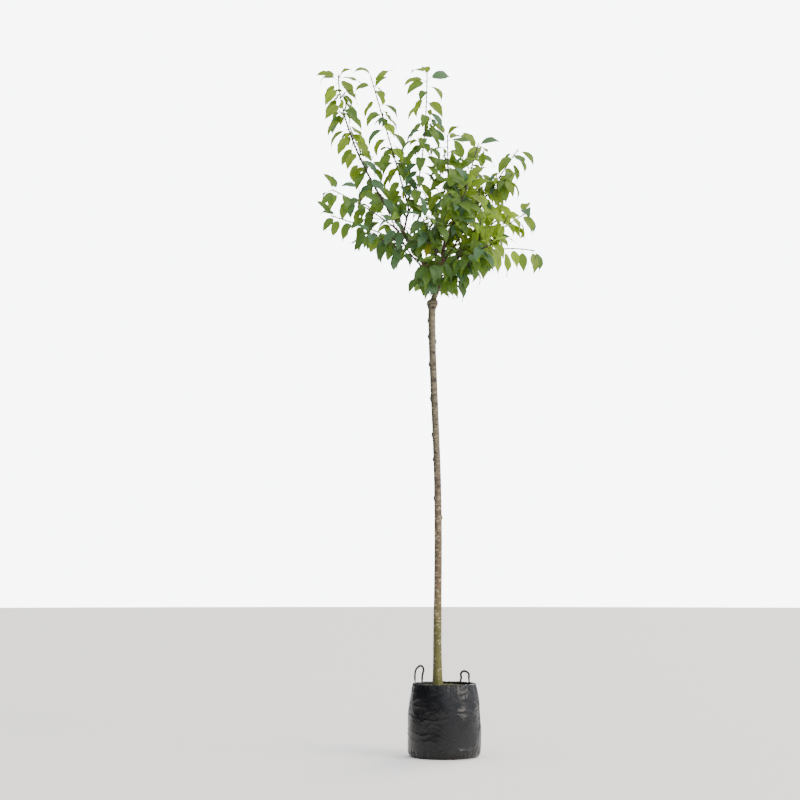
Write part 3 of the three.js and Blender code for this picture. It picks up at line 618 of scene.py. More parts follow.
def seeded(seed):
    """Random numbers from 0 to 1 that are the same on every run."""
    state = seed & 0xFFFFFFFF

    def draw():
        nonlocal state
        state = (state + 0x6D2B79F5) & 0xFFFFFFFF
        t = ((state ^ (state >> 15)) * (1 | state)) & 0xFFFFFFFF
        t = ((t + (t ^ (t >> 7)) * (61 | t)) & 0xFFFFFFFF) ^ t
        return (t ^ (t >> 14)) / 4294967296

    return draw


trunk_heights = np.arange(SOIL_TOP - 3, TRUNK_LINE[-1][0] + 1, TRUNK_STEP, dtype=float)
level, around = np.meshgrid(trunk_heights, round_angles(TRUNK_SIDES), indexing="ij")
shoulder = 1 / (1 + np.exp((level - (GRAFT_HEIGHT + 19)) / 3.2))
stem_part = trunk_radius(np.minimum(np.maximum(level, SOIL_TOP), GRAFT_HEIGHT + 20))
radius = SCION_RADIUS + (stem_part - SCION_RADIUS) * shoulder
radius += 1.4 * np.cos(5 * around) * np.exp(-(level - SOIL_TOP) / 60)
# The callus is fuller at its left shoulder and creased under its lip
lip = hill(level - GRAFT_HEIGHT - 8 - 8 * np.cos(around - 2.9), 8)
radius += lip * (1.6 + 3.0 * np.cos(around - 3.0))
crease = hill(level - GRAFT_HEIGHT + 12 - 6 * np.cos(around + 1.2), 4)
radius -= 1.6 * crease
# Painted shade darkens the crease under the lip, most on its front. A dark ring lies where the scion
# leaves the callus
dark = 0.75 * crease * (0.6 + 0.4 * np.cos(around + 1.2))
dark += 0.5 * hill(level - GRAFT_HEIGHT - 22, 5)
for z, turn, size in KNOBS:
    across, up = swing_from(turn, around) * radius, level - z
    mound = hill(across, 0.85 * size) * hill(up, 1.15 * size)
    radius = radius + 0.8 * size * mound**0.8 - 0.3 * size * mound**6
    dark += 0.9 * mound**5 + 0.25 * mound
for z, turn, size in SCARS:
    across, up = swing_from(turn, around) * radius, level - z
    gone = np.sqrt((across / size) ** 2 + (up / (0.85 * size)) ** 2)
    radius = radius + 0.9 * hill(gone - 0.95, 0.3) - 0.8 * hill(gone, 0.6)
    dark += 1.2 * hill(gone, 0.85, 4) + 0.35 * hill(gone - 1.2, 0.25)
# Corky pores lie across the stem in bands
pores = np.zeros_like(level)
draw = seeded(PORE_SEED)
for _ in range(PORES):
    z = SOIL_TOP + 12 + (GRAFT_HEIGHT - SOIL_TOP - 30) * draw()
    turn, wide, tall = 360 * draw(), 3.5 + 9 * draw() ** 2, 2.2 + 1.9 * draw()
    rows = np.abs(trunk_heights - z) < 9
    across = swing_from(turn, around[rows]) * radius[rows]
    bump = hill(across, wide, 4) * hill(level[rows] - z, tall)
    pores[rows] = np.maximum(pores[rows], bump)
radius += 0.55 * pores
for _ in range(RINGS):
    z, turn, reach = SOIL_TOP + 90 + 1950 * draw(), 360 * draw(), 16 + 26 * draw()
    across = swing_from(turn, around)
    up = level - z - 2.5 * np.sin(2 * across + turn)
    ring = hill(across * radius, reach, 4) * hill(up, 2.8)
    radius = radius + 0.5 * ring
    dark += 0.9 * ring
# A green algae film and painted shade lie on the side that the sun doesn't reach: the left side
# is darkened and greened, thickest under the graft
shaded = np.clip((-np.cos(around) - 0.22) / 0.4, 0, 1)
patchy = noise_at(ring_at(2, around, level / 45)).reshape(level.shape)
high = np.clip((level - 1300) / 500, 0, 1) * (level < GRAFT_HEIGHT - 8)
algae_and_shade_share = np.clip(shaded * (0.95 + 0.7 * patchy) * (0.55 + 0.45 * high), 0, 0.95)
middles = np.array([trunk_point(min(max(z, SOIL_TOP), TRUNK_LINE[-1][0])) for z in trunk_heights])
trunk_rings = ring_at(radius, around, level)
trunk_rings[..., :2] += middles[:, None, :2]
wobbles = [noise_at(trunk_rings / 24 + shift).reshape(level.shape) for shift in (0, 9)]
trunk_rings[..., :2] += 0.5 * np.stack(wobbles, axis=-1)


def bark_finish(name, stops, height, marks=()):
    """Young bark: colours that change up the wood, cross bands and marks of their own colours."""
    material, tree = finish_of(name)
    spot = node(tree, "ShaderNodeTexCoord")["Object"]
    blotch = node(tree, "ShaderNodeTexNoise", {"Vector": spot, "Scale": 14, "Detail": 4, "Roughness": 0.6})
    up = node(tree, "ShaderNodeSeparateXYZ", {"Vector": spot})["Z"]
    shifted = node(tree, "ShaderNodeMath", {0: blotch["Fac"], 1: 0.5, 2: up}, operation="MULTIPLY_ADD")
    share = node(tree, "ShaderNodeMapRange", {
        "Value": shifted["Value"], "From Min": height[0] + 0.25, "From Max": height[1] + 0.25,
    })["Result"]
    base = node(tree, "ShaderNodeValToRGB", {"Fac": share}, stops)["Color"]
    # Bands about 20 mm apart lie across the wood: the pattern is squeezed along its length
    squeezed = node(tree, "ShaderNodeMapping", {"Vector": spot, "Scale": (14, 14, 52)})["Vector"]
    bands = node(
        tree, "ShaderNodeTexNoise", {"Vector": squeezed, "Scale": 1, "Detail": 8, "Roughness": 0.72}
    )["Fac"]
    streak = node(tree, "ShaderNodeMapRange", {
        "Value": bands, "From Min": 0.3, "From Max": 0.7, "To Min": 0.62, "To Max": 1.4,
    })["Result"]
    colour = node(tree, "ShaderNodeHueSaturation", {"Color": base, "Value": streak})["Color"]
    for tag, code in marks:
        amount = node(tree, "ShaderNodeAttribute", attribute_name=tag)["Fac"]
        mark = {"Factor": amount, "A": colour, "B": paint(code)}
        colour = node(tree, "ShaderNodeMix", mark, data_type="RGBA")["Result"]
    relief = node(tree, "ShaderNodeBump", {"Height": bands, "Strength": 0.5, "Distance": 0.0015})["Normal"]
    body = node(tree, "ShaderNodeBsdfPrincipled", {
        "Base Color": colour, "Roughness": 0.62, "IOR": 1.45, "Normal": relief,
    })
    node(tree, "ShaderNodeOutputMaterial", {"Surface": body["BSDF"]})
    return material


# Smooth stem bark: olive with green algae at the foot, pinkish brown above, greyer at the top
stem_bark = bark_finish(
    "smooth_cherry_stem_bark",
    [
        (0.0, "#5c5a28"), (0.13, "#514e20"), (0.24, "#604d35"), (0.36, "#5b4c36"), (0.5, "#584b3b"),
        (0.78, "#625a48"), (0.94, "#6e6651"), (1.0, "#5a593f"),
    ],
    (0.38, 2.56),
    # The green film mark also carries painted shade on the trunk's left side
    (("algae_and_painted_shade", "#2f3422"), ("pore", "#a89c7c"), ("scar_and_crease_shade", "#22180f")),
)
# Besides scars, knobs and rings, the dark mark holds painted shade in the crease under the callus lip
tags = {"algae_and_painted_shade": algae_and_shade_share, "pore": 0.75 * pores * (1 - 0.55 * high), "scar_and_crease_shade": np.clip(dark, 0, 1)}
trunk = made_of("stem_bark", shell("stem_bark", trunk_rings, tags), stem_bark)
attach(trunk, "root")
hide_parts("trunk")


# Main boughs and spurs
# Grafted wood one and two years old: brown, smooth, with a collar where each limb springs
# and a ring at every bud. Fork and collars are grown into one skin.
# Each row: name, carrier, share of the carrier's length, turn, lean from upright, length,
# lift of the middle, radii at the two ends
BOUGHS = [
    ("left_bough", "trunk", 1, -175, 32, 405, 0.03, 12, 7.5),
    ("centre_bough", "trunk", 1, -11, 8, 297, -0.02, 12, 7),
    ("back_bough", "trunk", 1, 103, 24, 130, -0.02, 9, 6.5),
    ("left_fork_bough", "left_bough", 0.9, 41, 15, 147, -0.04, 7, 5.5),
    ("inner_spur", "left_fork_bough", 0.7, -43, 30, 76, -0.03, 5, 4.5),
    ("left_upper_spur", "left_bough", 0.8, -155, 57, 70, -0.04, 5, 4.5),
    ("left_middle_spur", "left_bough", 0.62, 157, 62, 70, -0.04, 5, 4.5),
    ("left_lower_spur", "left_bough", 0.42, -163, 67, 70, -0.04, 5, 4.5),
    ("left_front_spur", "left_bough", 0.52, -128, 68, 60, -0.04, 5, 4.5),
    ("back_left_bough", "left_bough", 0.28, 127, 56, 95, -0.04, 7, 5.5),
    ("right_upper_bough", "centre_bough", 0.45, 15, 34, 150, -0.04, 7.5, 5.5),
    ("right_outer_bough", "centre_bough", 0.36, -6, 58, 90, -0.04, 6.5, 5),
    ("right_lower_bough", "centre_bough", 0.2, -14, 56, 90, -0.03, 6, 4.5),
    ("front_right_bough", "centre_bough", 0.27, -55, 77, 70, -0.04, 6, 5),
    ("back_right_bough", "centre_bough", 0.3, 49, 53, 110, -0.04, 7, 5.5),
    ("centre_spur", "centre_bough", 0.8, 35, 27, 90, -0.04, 5.5, 5),
    ("front_upper_spur", "centre_bough", 0.75, -64, 46, 60, -0.04, 5, 4.5),
    ("front_centre_spur", "centre_bough", 0.52, -116, 65, 60, -0.04, 5, 4.5),
    ("back_upper_spur", "centre_bough", 0.64, 66, 37, 100, -0.04, 6, 5),
    ("front_bough", "centre_bough", 0.08, -113, 77, 60, -0.04, 6.5, 5),
    ("low_right_spur", "centre_bough", 0.06, -38, 84, 50, -0.04, 5.5, 4.5),
    ("low_back_spur", "centre_bough", 0.14, 85, 74, 60, -0.04, 5.5, 4.5),
]
BOUGH_SIDES = 14
BOUGH_STEP = 5
BOUGH_ROOT = 4  # how far a limb's skin starts inside its carrier
SKIN_GRAIN = 2.0  # between the points of the grown skin
NEW_WOOD = 2520  # height from which the trunk's skin is part of the boughs' own
UP = np.array([0.0, 0.0, 1.0])
FORK = trunk_point(TRUNK_LINE[-1][0])


class Bend:
    """The line of a bough, stem or twig: three points, the middle one pulls it round."""

    def __init__(self, start, pull, end):
        self.points = start, pull, end
        plane = np.cross(pull - start, end - start)
        self.sideways = unit(plane) if np.linalg.norm(plane) > 1 else np.array([0.8, 0.6, 0])

    def at(self, t):
        a, b, c = self.points
        return (1 - t) ** 2 * a + 2 * t * (1 - t) * b + t * t * c

    def along(self, t):
        a, b, c = self.points
        return unit((1 - t) * (b - a) + t * (c - b))


def polar(turn, lean, length):
    """A step in a direction given by its turn and its lean from upright."""
    turn, lean = radians(turn), radians(lean)
    across = sin(lean) * length
    return np.array([cos(turn) * across, sin(turn) * across, cos(lean) * length])


def taper(base, tip):
    return lambda t: base + (tip - base) * t


def line_of(point_at, radius_at, steps):
    return [(point_at(i / steps), radius_at(i / steps)) for i in range(steps + 1)]


def tube(curve, radius_at, length):
    """Rings round a curve, for a limb of round section."""
    steps = max(int(length / BOUGH_STEP), 2)
    angles = round_angles(BOUGH_SIDES)[:, None]
    rings = []
    for i in range(steps + 1):
        t = i / steps
        along = curve.along(t)
        first = square_to(curve.sideways, along)
        middle = curve.at(t) - (along * BOUGH_ROOT if i == 0 else 0)
        outward = np.cos(angles) * first + np.sin(angles) * np.cross(along, first)
        rings.append(middle + radius_at(t) * outward)
    return rings


top_height = taper(2300, FORK[2])
top_line = line_of(lambda t: trunk_point(top_height(t)), lambda t: float(trunk_radius(top_height(t))), 12)
limbs = {"trunk": {"line": top_line}}
new_wood = ring_at(SCION_RADIUS - 0.6, round_angles(24), 0)
skins = [shell("new_wood", [trunk_point(z) + new_wood for z in range(NEW_WOOD, 2567, 4)])]
for name, carrier, share, turn, lean, length, lift, base, tip in BOUGHS:
    start = FORK if carrier == "trunk" else limbs[carrier]["curve"].at(share)
    end = start + polar(turn, lean, length)
    curve = Bend(start, (start + end) / 2 + UP * lift * length, end)
    plain = taper(base, tip)

    def collared(t):
        """The collar swells where the limb leaves its carrier, and every bud leaves a ring."""
        run = t * length
        ring = 0.07 * hill((run + 9) % 27 - 13.5, 3.2)
        return plain(t) * (1 + 0.32 * exp(-run / (1.6 * base)) + ring)

    limbs[name] = {"curve": curve, "tip": tip, "line": line_of(curve.at, plain, 3)}
    skins.append(shell(name, tube(curve, collared, length)))

joined = bmesh.new()
for mesh in skins:
    joined.from_mesh(mesh)
whole = bpy.data.meshes.new("bough_bark")
joined.to_mesh(whole)
joined.free()
holder = made_of("bough_holder", whole)
remesh = holder.modifiers.new("skin", "REMESH")
remesh.mode = "VOXEL"
remesh.voxel_size = SKIN_GRAIN * MM
smooth = holder.modifiers.new("healed", "SMOOTH")
smooth.factor = 0.5
smooth.iterations = 5
graph = bpy.context.evaluated_depsgraph_get()
bough_mesh = bpy.data.meshes.new_from_object(holder.evaluated_get(graph))
bough_mesh.name = "bough_bark"
bpy.data.objects.remove(holder)
bough_mesh.shade_smooth()

# Bark of the grafted wood: grey-green at the fork, then brown, reddish brown higher up
bough_bark = bark_finish(
    "young_cherry_bough_bark",
    [(0.0, "#55543c"), (0.12, "#54402a"), (0.4, "#4a3020"), (1.0, "#453428")],
    (2.52, 3.05),
)
boughs = made_of("bough_bark", bough_mesh, bough_bark)
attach(boughs, "root")
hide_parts(*(row[0] for row in BOUGHS))


# Shoots
# This year's long shoots and the short side twigs on them. They grow on from the tips of the
# boughs by a seeded rule, each in the space nearest to its own stem.
# Turn and lean give the way to a stem's tip, and hold is the share of its length over which
# it keeps its bough's direction. Sprigs are twigs that only this model has.
MASS_FIELDS = (
    "name bough turn lean length hold twigs twig_length spurs droop spacing leaf_size sprigs".split()
)
MASSES = [
    ("left_tall", "left_bough", 168, 21.5, 984, 0.62, 1, 120, 3, 1.7, 22, 1, 0),
    ("middle_tall", "left_fork_bough", 174, 15.5, 820, 0.02, 2, 120, 3, 1.7, 22, 1, 0),
    ("inner_tall", "inner_spur", -44, 9, 757, 0.3, 1, 110, 2, 1.7, 22, 1, 0),
    ("left_upper", "left_upper_spur", -168, 60, 433, 0.4, 2, 120, 0, 1.7, 28, 0.95, 0),
    ("left_middle", "left_middle_spur", 166, 66, 473, 0.4, 2, 110, 0, 1.8, 30, 0.95, 0),
    ("left_lower", "left_lower_spur", -150, 70, 280, 0.4, 1, 100, 0, 1.8, 38, 0.9, 0),
    ("left_front", "left_front_spur", -106, 62, 280, 0.3, 2, 110, 0, 1.4, 34, 0.95, 1),
    ("back_left", "back_left_bough", 132, 36, 480, 0.4, 3, 130, 0, 1.1, 47, 0.95, 0),
    ("centre_tall", "centre_bough", -60, 3, 580, 0.3, 3, 140, 1, 1.5, 28, 1, 3),
    ("centre_side", "centre_spur", 28, 19.5, 590, 0.3, 6, 160, 0, 1.6, 31, 1, 9),
    ("right_upper", "right_upper_bough", 8, 33, 676, 0.3, 6, 190, 6, 2.1, 29, 1, 12),
    ("right_outer", "right_outer_bough", -7, 57, 490, 0.3, 7, 160, 0, 1.9, 31, 1.05, 14),
    ("right_lower", "right_lower_bough", -6, 79, 470, 0.5, 1, 100, 0, 2.9, 48, 1, 2),
    ("front_right", "front_right_bough", -49, 77, 366, 0.3, 4, 160, 0, 1.6, 28, 1, 7),
    ("front_upper", "front_upper_spur", -66, 46, 371, 0.3, 4, 150, 0, 1.4, 29, 1.05, 8),
    ("front_centre", "front_centre_spur", -108, 62, 306, 0.3, 4, 150, 0, 1.5, 28, 1.05, 6),
    ("front_low", "front_bough", -98, 84, 275, 0.3, 3, 130, 0, 2.0, 30, 0.95, 4),
    ("low_right", "low_right_spur", -36, 60, 240, 0.3, 2, 110, 0, 1.7, 28, 1, 4),
    ("low_back", "low_back_spur", 88, 54, 323, 0.3, 3, 140, 0, 1.6, 41, 1, 4),
    ("back_low", "back_bough", 66, 34, 480, 0.3, 5, 170, 0, 1.2, 44, 1, 8),
    ("back_right", "back_right_bough", 43, 51, 540, 0.3, 6, 180, 0, 1.3, 47, 1, 14),
    ("back_upper", "back_upper_spur", 64, 23, 619, 0.3, 5, 170, 0, 1.2, 45, 1, 9),
]
FOLIAGE = [row[0] + "_foliage" for row in MASSES]
# Side shoots: radii at the two ends, bare length at the foot, distance between leaves, where
# it isn't the mass's own, and size of the leaves
SIDE_SHOOTS = {
    "twig": (3.2, 2, 22, None, 0.95), "spur": (3.4, 2.4, 6, 5.5, 0.5), "sprig": (1.9, 1.1, 10, 12, 0.7),
}
STEM_TIP = 3.0
SPUR_LENGTH = 42
SPRIG_LENGTH = 46
BARE = 0.12  # share of a stem below its first leaf
TWIG_SPIRAL = 137.5
REACH_LEAF = 145  # the longest leaf that a mass's space allows for
SPACE_CLEAR = 8
SPACE_LAP = 50
LEAF_CLEAR = 5
TWIG_CLEAR = 4.5
SEED = 2640


def rotated(vector, axis, angle):
    """A vector turned about an axis."""
    c, s = cos(angle), sin(angle)
    return vector * c + np.cross(axis, vector) * s + axis * np.dot(axis, vector) * (1 - c)


masses = []
for number, row in enumerate(MASSES):
    mass = SimpleNamespace(number=number, shoots=[], **dict(zip(MASS_FIELDS, row)))
    bough = limbs[mass.bough]
    along = bough["curve"].along(1)
    start = bough["curve"].at(1) + along * 0.3
    pull = start + along * mass.hold * mass.length
    mass.curve = Bend(start, pull, start + polar(mass.turn, mass.lean, mass.length))
    mass.radius = taper(bough["tip"] * 0.95, STEM_TIP)
    mass.line = line_of(mass.curve.at, mass.radius, 8)
    masses.append(mass)


def segments_of(lines):
    """Lines of points with radii as arrays: starts, steps, radii, growths, first of each line."""
    starts, steps, radii, growths, first = [], [], [], [], []
    for line in lines:
        first.append(len(starts))
        for (a, r), (b, s) in zip(line, line[1:]):
            starts.append(a)
            steps.append(b - a)
            radii.append(r)
            growths.append(s - r)
    return [np.array(values) for values in (starts, steps, radii, growths, first)]


def distances(points, segments):
    """Distance of each point from each line, less the line's radius there."""
    starts, steps, radii, growths, first = segments
    apart = points[:, None] - starts[None]
    t = np.clip((apart * steps).sum(-1) / (steps**2).sum(-1), 0, 1)
    gap = np.linalg.norm(apart - t[..., None] * steps, axis=-1) - radii - growths * t
    return np.minimum.reduceat(gap, first, axis=1)


stem_segments = segments_of([mass.line for mass in masses])
limb_segments = segments_of([limb["line"] for limb in limbs.values()])


def in_space(mass, points, lap):
    """Whether points keep to a mass's own space, within its reach and clear of every limb."""
    gaps = distances(points, stem_segments)
    own = gaps[:, mass.number].copy()
    gaps[:, mass.number] = np.inf
    if (own > mass.twig_length + REACH_LEAF).any() or (gaps.min(axis=1) < own - lap).any():
        return False
    return not (distances(points, limb_segments) < LEAF_CLEAR).any()


twig_lines = []


def side_shoot(mass, at, turn, length, kind, carrier=None):
    """A side shoot. One that would leave the space is tried shorter and then skipped."""
    source = carrier or mass.curve
    along = source.along(at)
    out = rotated(square_to(source.sideways, along), along, radians(turn))
    start, direction = source.at(at), unit(out + along * 0.75)
    base, tip, bare, spacing, size = SIDE_SHOOTS[kind]
    for share in (1, 0.75, 0.5):
        reach = length * share
        end = start + direction * reach + UP * reach * 0.16
        curve = Bend(start, start + direction * reach * 0.5, end)
        spots = np.array([curve.at(t) for t in (0.45, 0.7, 1)])
        if not in_space(mass, spots, -SPACE_CLEAR):
            continue
        if twig_lines and (distances(spots, segments_of(twig_lines)) < TWIG_CLEAR).any():
            continue
        radius, slot = taper(base, tip), 100 * (len(mass.shoots) + 1)
        twig_lines.append(line_of(curve.at, radius, 2))
        mass.shoots.append(SimpleNamespace(
            kind=kind, curve=curve, length=reach, radius=radius, bare=bare,
            spacing=spacing or mass.spacing, size=size, phase=turn, slot=slot,
        ))
        return


for mass in masses:
    draw = seeded(SEED + 5000 * mass.number)
    phase = draw() * 360
    mass.shoots.append(SimpleNamespace(
        kind="stem", curve=mass.curve, length=mass.length, radius=mass.radius,
        bare=BARE * mass.length, spacing=mass.spacing, size=1, phase=phase, slot=0,
    ))
    for k in range(mass.twigs):
        at = 0.1 + 0.66 * (k + 0.3 + 0.4 * draw()) / mass.twigs
        reach = mass.twig_length * (1.1 - 0.6 * at) * (0.85 + 0.3 * draw())
        side_shoot(mass, at, phase + k * TWIG_SPIRAL, reach, "twig")
    for k in range(mass.spurs):
        at = 0.52 + 0.3 * (k + draw()) / mass.spurs
        side_shoot(mass, at, phase + 70 + k * TWIG_SPIRAL, SPUR_LENGTH, "spur")
# Finer growth than the solids have: sprigs on the side twigs and low on the stems
for mass in masses:
    draw = seeded(SEED + 5000 * mass.number + 4000)
    twigs = [shoot.curve for shoot in mass.shoots if shoot.kind == "twig"]
    for k in range(mass.sprigs):
        source = twigs[k // 2 % len(twigs)] if k % 2 and twigs else None
        at, length = 0.12 + 0.7 * draw(), SPRIG_LENGTH * (0.7 + 0.6 * draw())
        side_shoot(mass, at, 360 * draw(), length, "sprig", source)

# The wood itself is a round section carried along each shoot's line, thicker at every bud
run_wood, given = geometry_tree("wood_along_lines", {"Sides": "Int", "Bark": "Material"})
lines = node(run_wood, "GeometryNodeMeshToCurve", {"Mesh": given["Geometry"]})["Curve"]
section = node(run_wood, "GeometryNodeCurvePrimitiveCircle", {"Resolution": given["Sides"], "Radius": 1})
thickness = node(
    run_wood, "GeometryNodeInputNamedAttribute", {"Name": "thickness"}, data_type="FLOAT"
)["Attribute"]
wood = node(run_wood, "GeometryNodeCurveToMesh", {
    "Curve": lines, "Profile Curve": section["Curve"], "Scale": thickness, "Fill Caps": True,
})["Mesh"]
smoothed = node(run_wood, "GeometryNodeSetShadeSmooth", {"Geometry": wood})["Geometry"]
real = node(run_wood, "GeometryNodeRealizeInstances", {"Geometry": smoothed})["Geometry"]
barked = node(run_wood, "GeometryNodeSetMaterial", {"Geometry": real, "Material": given["Bark"]})
node(run_wood, "NodeGroupOutput", {"Geometry": barked["Geometry"]})

line_points, line_edges, line_widths, bud_places = [], [], [], []
for shoot in (shoot for mass in masses for shoot in mass.shoots):
    steps = max(int(shoot.length / 5), 6)
    count = int((shoot.length - shoot.bare) / shoot.spacing) + 1
    buds = [(shoot.bare + (j + 0.3) * shoot.spacing) / shoot.length for j in range(count)]
    first = len(line_points)
    for i in range(steps + 1):
        t = i / steps
        swell = sum(0.28 * hill((t - b) * shoot.length, 4) for b in buds if b < 1)
        if shoot.kind != "stem":
            swell += 0.5 * exp(-t * shoot.length / 5)
        line_points.append((shoot.curve.at(t) * MM).tolist())
        line_widths.append(shoot.radius(t) * (1 + swell) * MM)
    line_edges += [(first + i, first + i + 1) for i in range(steps)]
    bud_places += [(shoot, b) for b in buds if b < 0.97]
carrier = bpy.data.meshes.new("shoot_lines")
carrier.from_pydata(line_points, line_edges, [])
carrier.attributes.new("thickness", "FLOAT", "POINT").data.foreach_set("value", line_widths)

# One-year bark: grey-brown with a waxy bloom, browner towards the wood it grew from
shoot_bark = bark_finish(
    "one_year_cherry_shoot_bark", [(0.0, "#46321f"), (0.3, "#453a30"), (1.0, "#4a4440")], (2.6, 3.8)
)
shoots = grown("shoots", carrier, run_wood, {"Sides": 7, "Bark": shoot_bark})
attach(shoots, "root")
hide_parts(*FOLIAGE)


# Buds
# A small pointed bud sits in the angle of every leaf stalk, pressed to the shoot.
BUD_LENGTH = 7
SPIRAL = 144

set_out, given = geometry_tree("set_out_on_points", {
    "Forms": "Collection", "Length": "Float", "Length Spread": "Float", "Seed": "Int",
    "Skin": "Material", "Rib": "Material",
})
forms = node(set_out, "GeometryNodeCollectionInfo", {
    "Collection": given["Forms"], "Separate Children": True, "Reset Children": True,
})["Instances"]
form_of, facing, size_of, is_rib = (
    node(set_out, "GeometryNodeInputNamedAttribute", {"Name": name}, data_type=kind)["Attribute"]
    for name, kind in (("form", "INT"), ("facing", "FLOAT_VECTOR"), ("size", "FLOAT"), ("rib", "BOOLEAN"))
)
turning = node(set_out, "FunctionNodeEulerToRotation", {"Euler": facing})["Rotation"]
spread = node(
    set_out, "FunctionNodeRandomValue", {2: -1.0, 3: 1.0, "Seed": given["Seed"]}, data_type="FLOAT"
)[1]
varied = node(
    set_out, "ShaderNodeMath", {0: spread, 1: given["Length Spread"], 2: given["Length"]},
    operation="MULTIPLY_ADD",
)["Value"]
scaled = node(set_out, "ShaderNodeMath", {0: varied, 1: size_of}, operation="MULTIPLY")["Value"]
placed = node(set_out, "GeometryNodeInstanceOnPoints", {
    "Points": given["Geometry"], "Instance": forms, "Pick Instance": True,
    "Instance Index": form_of, "Rotation": turning, "Scale": scaled,
})["Instances"]
real = node(set_out, "GeometryNodeRealizeInstances", {"Geometry": placed})["Geometry"]
skinned = node(set_out, "GeometryNodeSetMaterial", {"Geometry": real, "Material": given["Skin"]})
ribbed = node(set_out, "GeometryNodeSetMaterial", {
    "Geometry": skinned["Geometry"], "Selection": is_rib, "Material": given["Rib"],
})
node(set_out, "NodeGroupOutput", {"Geometry": ribbed["Geometry"]})


def facing_of(direction, upper):
    """The turn that lays a form's length along a direction with its top side up."""
    columns = Matrix((direction, np.cross(upper, direction), upper)).transposed()
    return tuple(columns.to_euler("XYZ"))


def carrier_of(name, records):
    """Points for the set_out_on_points tree: foot, facing, size and form of each."""
    feet, facings, sizes, forms = zip(*records)
    mesh = bpy.data.meshes.new(name)
    mesh.from_pydata((np.array(feet) * MM).tolist(), [], [])
    for key, kind, field, values in (
        ("facing", "FLOAT_VECTOR", "vector", np.ravel(facings)),
        ("size", "FLOAT", "value", np.array(sizes, float)),
        ("form", "INT", "value", forms),
    ):
        mesh.attributes.new(key, kind, "POINT").data.foreach_set(field, values)
    return mesh


# Three rings of five points and a tip
bud_rows = (0, 0.16), (0.3, 0.24), (0.62, 0.17)
bud_points = [
    (x, r * cos(a), r * sin(a)) for x, r in bud_rows for a in (0, 1.26, 2.51, 3.77, 5.03)
]
bud_faces = [
    (low + s, low + 5 + s, low + 5 + (s + 1) % 5, low + (s + 1) % 5) for low in (0, 5) for s in range(5)
]
bud_faces += [(10 + s, 15, 10 + (s + 1) % 5) for s in range(5)]
bud_mesh = bpy.data.meshes.new("bud_form")
bud_mesh.from_pydata([*bud_points, (1, 0, 0.04)], [], bud_faces)
bud_mesh.shade_smooth()
bud_forms = bpy.data.collections.new("bud_forms")
bud_forms.objects.link(bpy.data.objects.new("bud_form", bud_mesh))
bud_records = []
for shoot, t in bud_places:
    along = shoot.curve.along(t)
    number = round((t * shoot.length - shoot.bare) / shoot.spacing - 0.3)
    turn = radians(shoot.phase + number * SPIRAL)
    out = rotated(square_to(shoot.curve.sideways, along), along, turn)
    foot = shoot.curve.at(t) + out * shoot.radius(t) * 0.9 + along * 1.5
    pointing = unit(along + out * 0.55)
    size = 0.7 if shoot.kind == "sprig" else 1
    bud_records.append((foot, facing_of(pointing, square_to(out, pointing)), size, 0))
buds = grown("buds", carrier_of("bud_points", bud_records), set_out, {
    "Forms": bud_forms, "Length": BUD_LENGTH * MM, "Length Spread": 1.2 * MM, "Seed": 5,
    "Skin": plain_finish("brown_bud_scale", "#3c2818", 0.6), "Rib": None,
})
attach(buds, "root")
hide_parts(*FOLIAGE)


# Leaves
# Ovate blades with a drawn-out tip and toothed margins, folded up along the rib, on stalks
# that hold them out before they hang. They stand in sprays, in greens with painted light and
# shade, as of a crown lit from its right.
LEAF_LENGTH = 156  # with its stalk, along the arch
LEAF_WIDTH = 0.36  # of the length
LEAF_SPACE = 56 / 145  # width against length of the space that a leaf takes up
STALK = 0.17
LEAF_SPREAD = 26
LIGHT = np.array([0.2, -1.3, 0.1])  # the blades turn towards the open sky in front
SWUNG = np.array([1, 0.4, 1])  # and their stalks swing round to the sides
PERK_DROOP = 2.4
PERK_LEAVES = 2.5
TIP_PERK = 1.4
TRIES = 5
# Half widths along the blade, from the stalk to the drip tip
BLADE = [
    (0.0, 0.03), (0.07, 0.46), (0.17, 0.8), (0.3, 0.98), (0.44, 0.99), (0.58, 0.84),
    (0.71, 0.58), (0.83, 0.3), (0.92, 0.11), (1.0, 0.015),
]
# Fold along the rib, slope at the stalk and at the tip in degrees, twist to the tip, and wave
# of the margins
LEAF_FORMS = [
    (0.45, 34, -44, 0.3, 0.012), (0.3, 24, -62, -0.5, 0.02), (0.6, 40, -34, 0.5, 0.008),
    (0.2, 20, -30, -0.3, 0.03), (0.38, 46, -78, 0.2, 0.016),
]


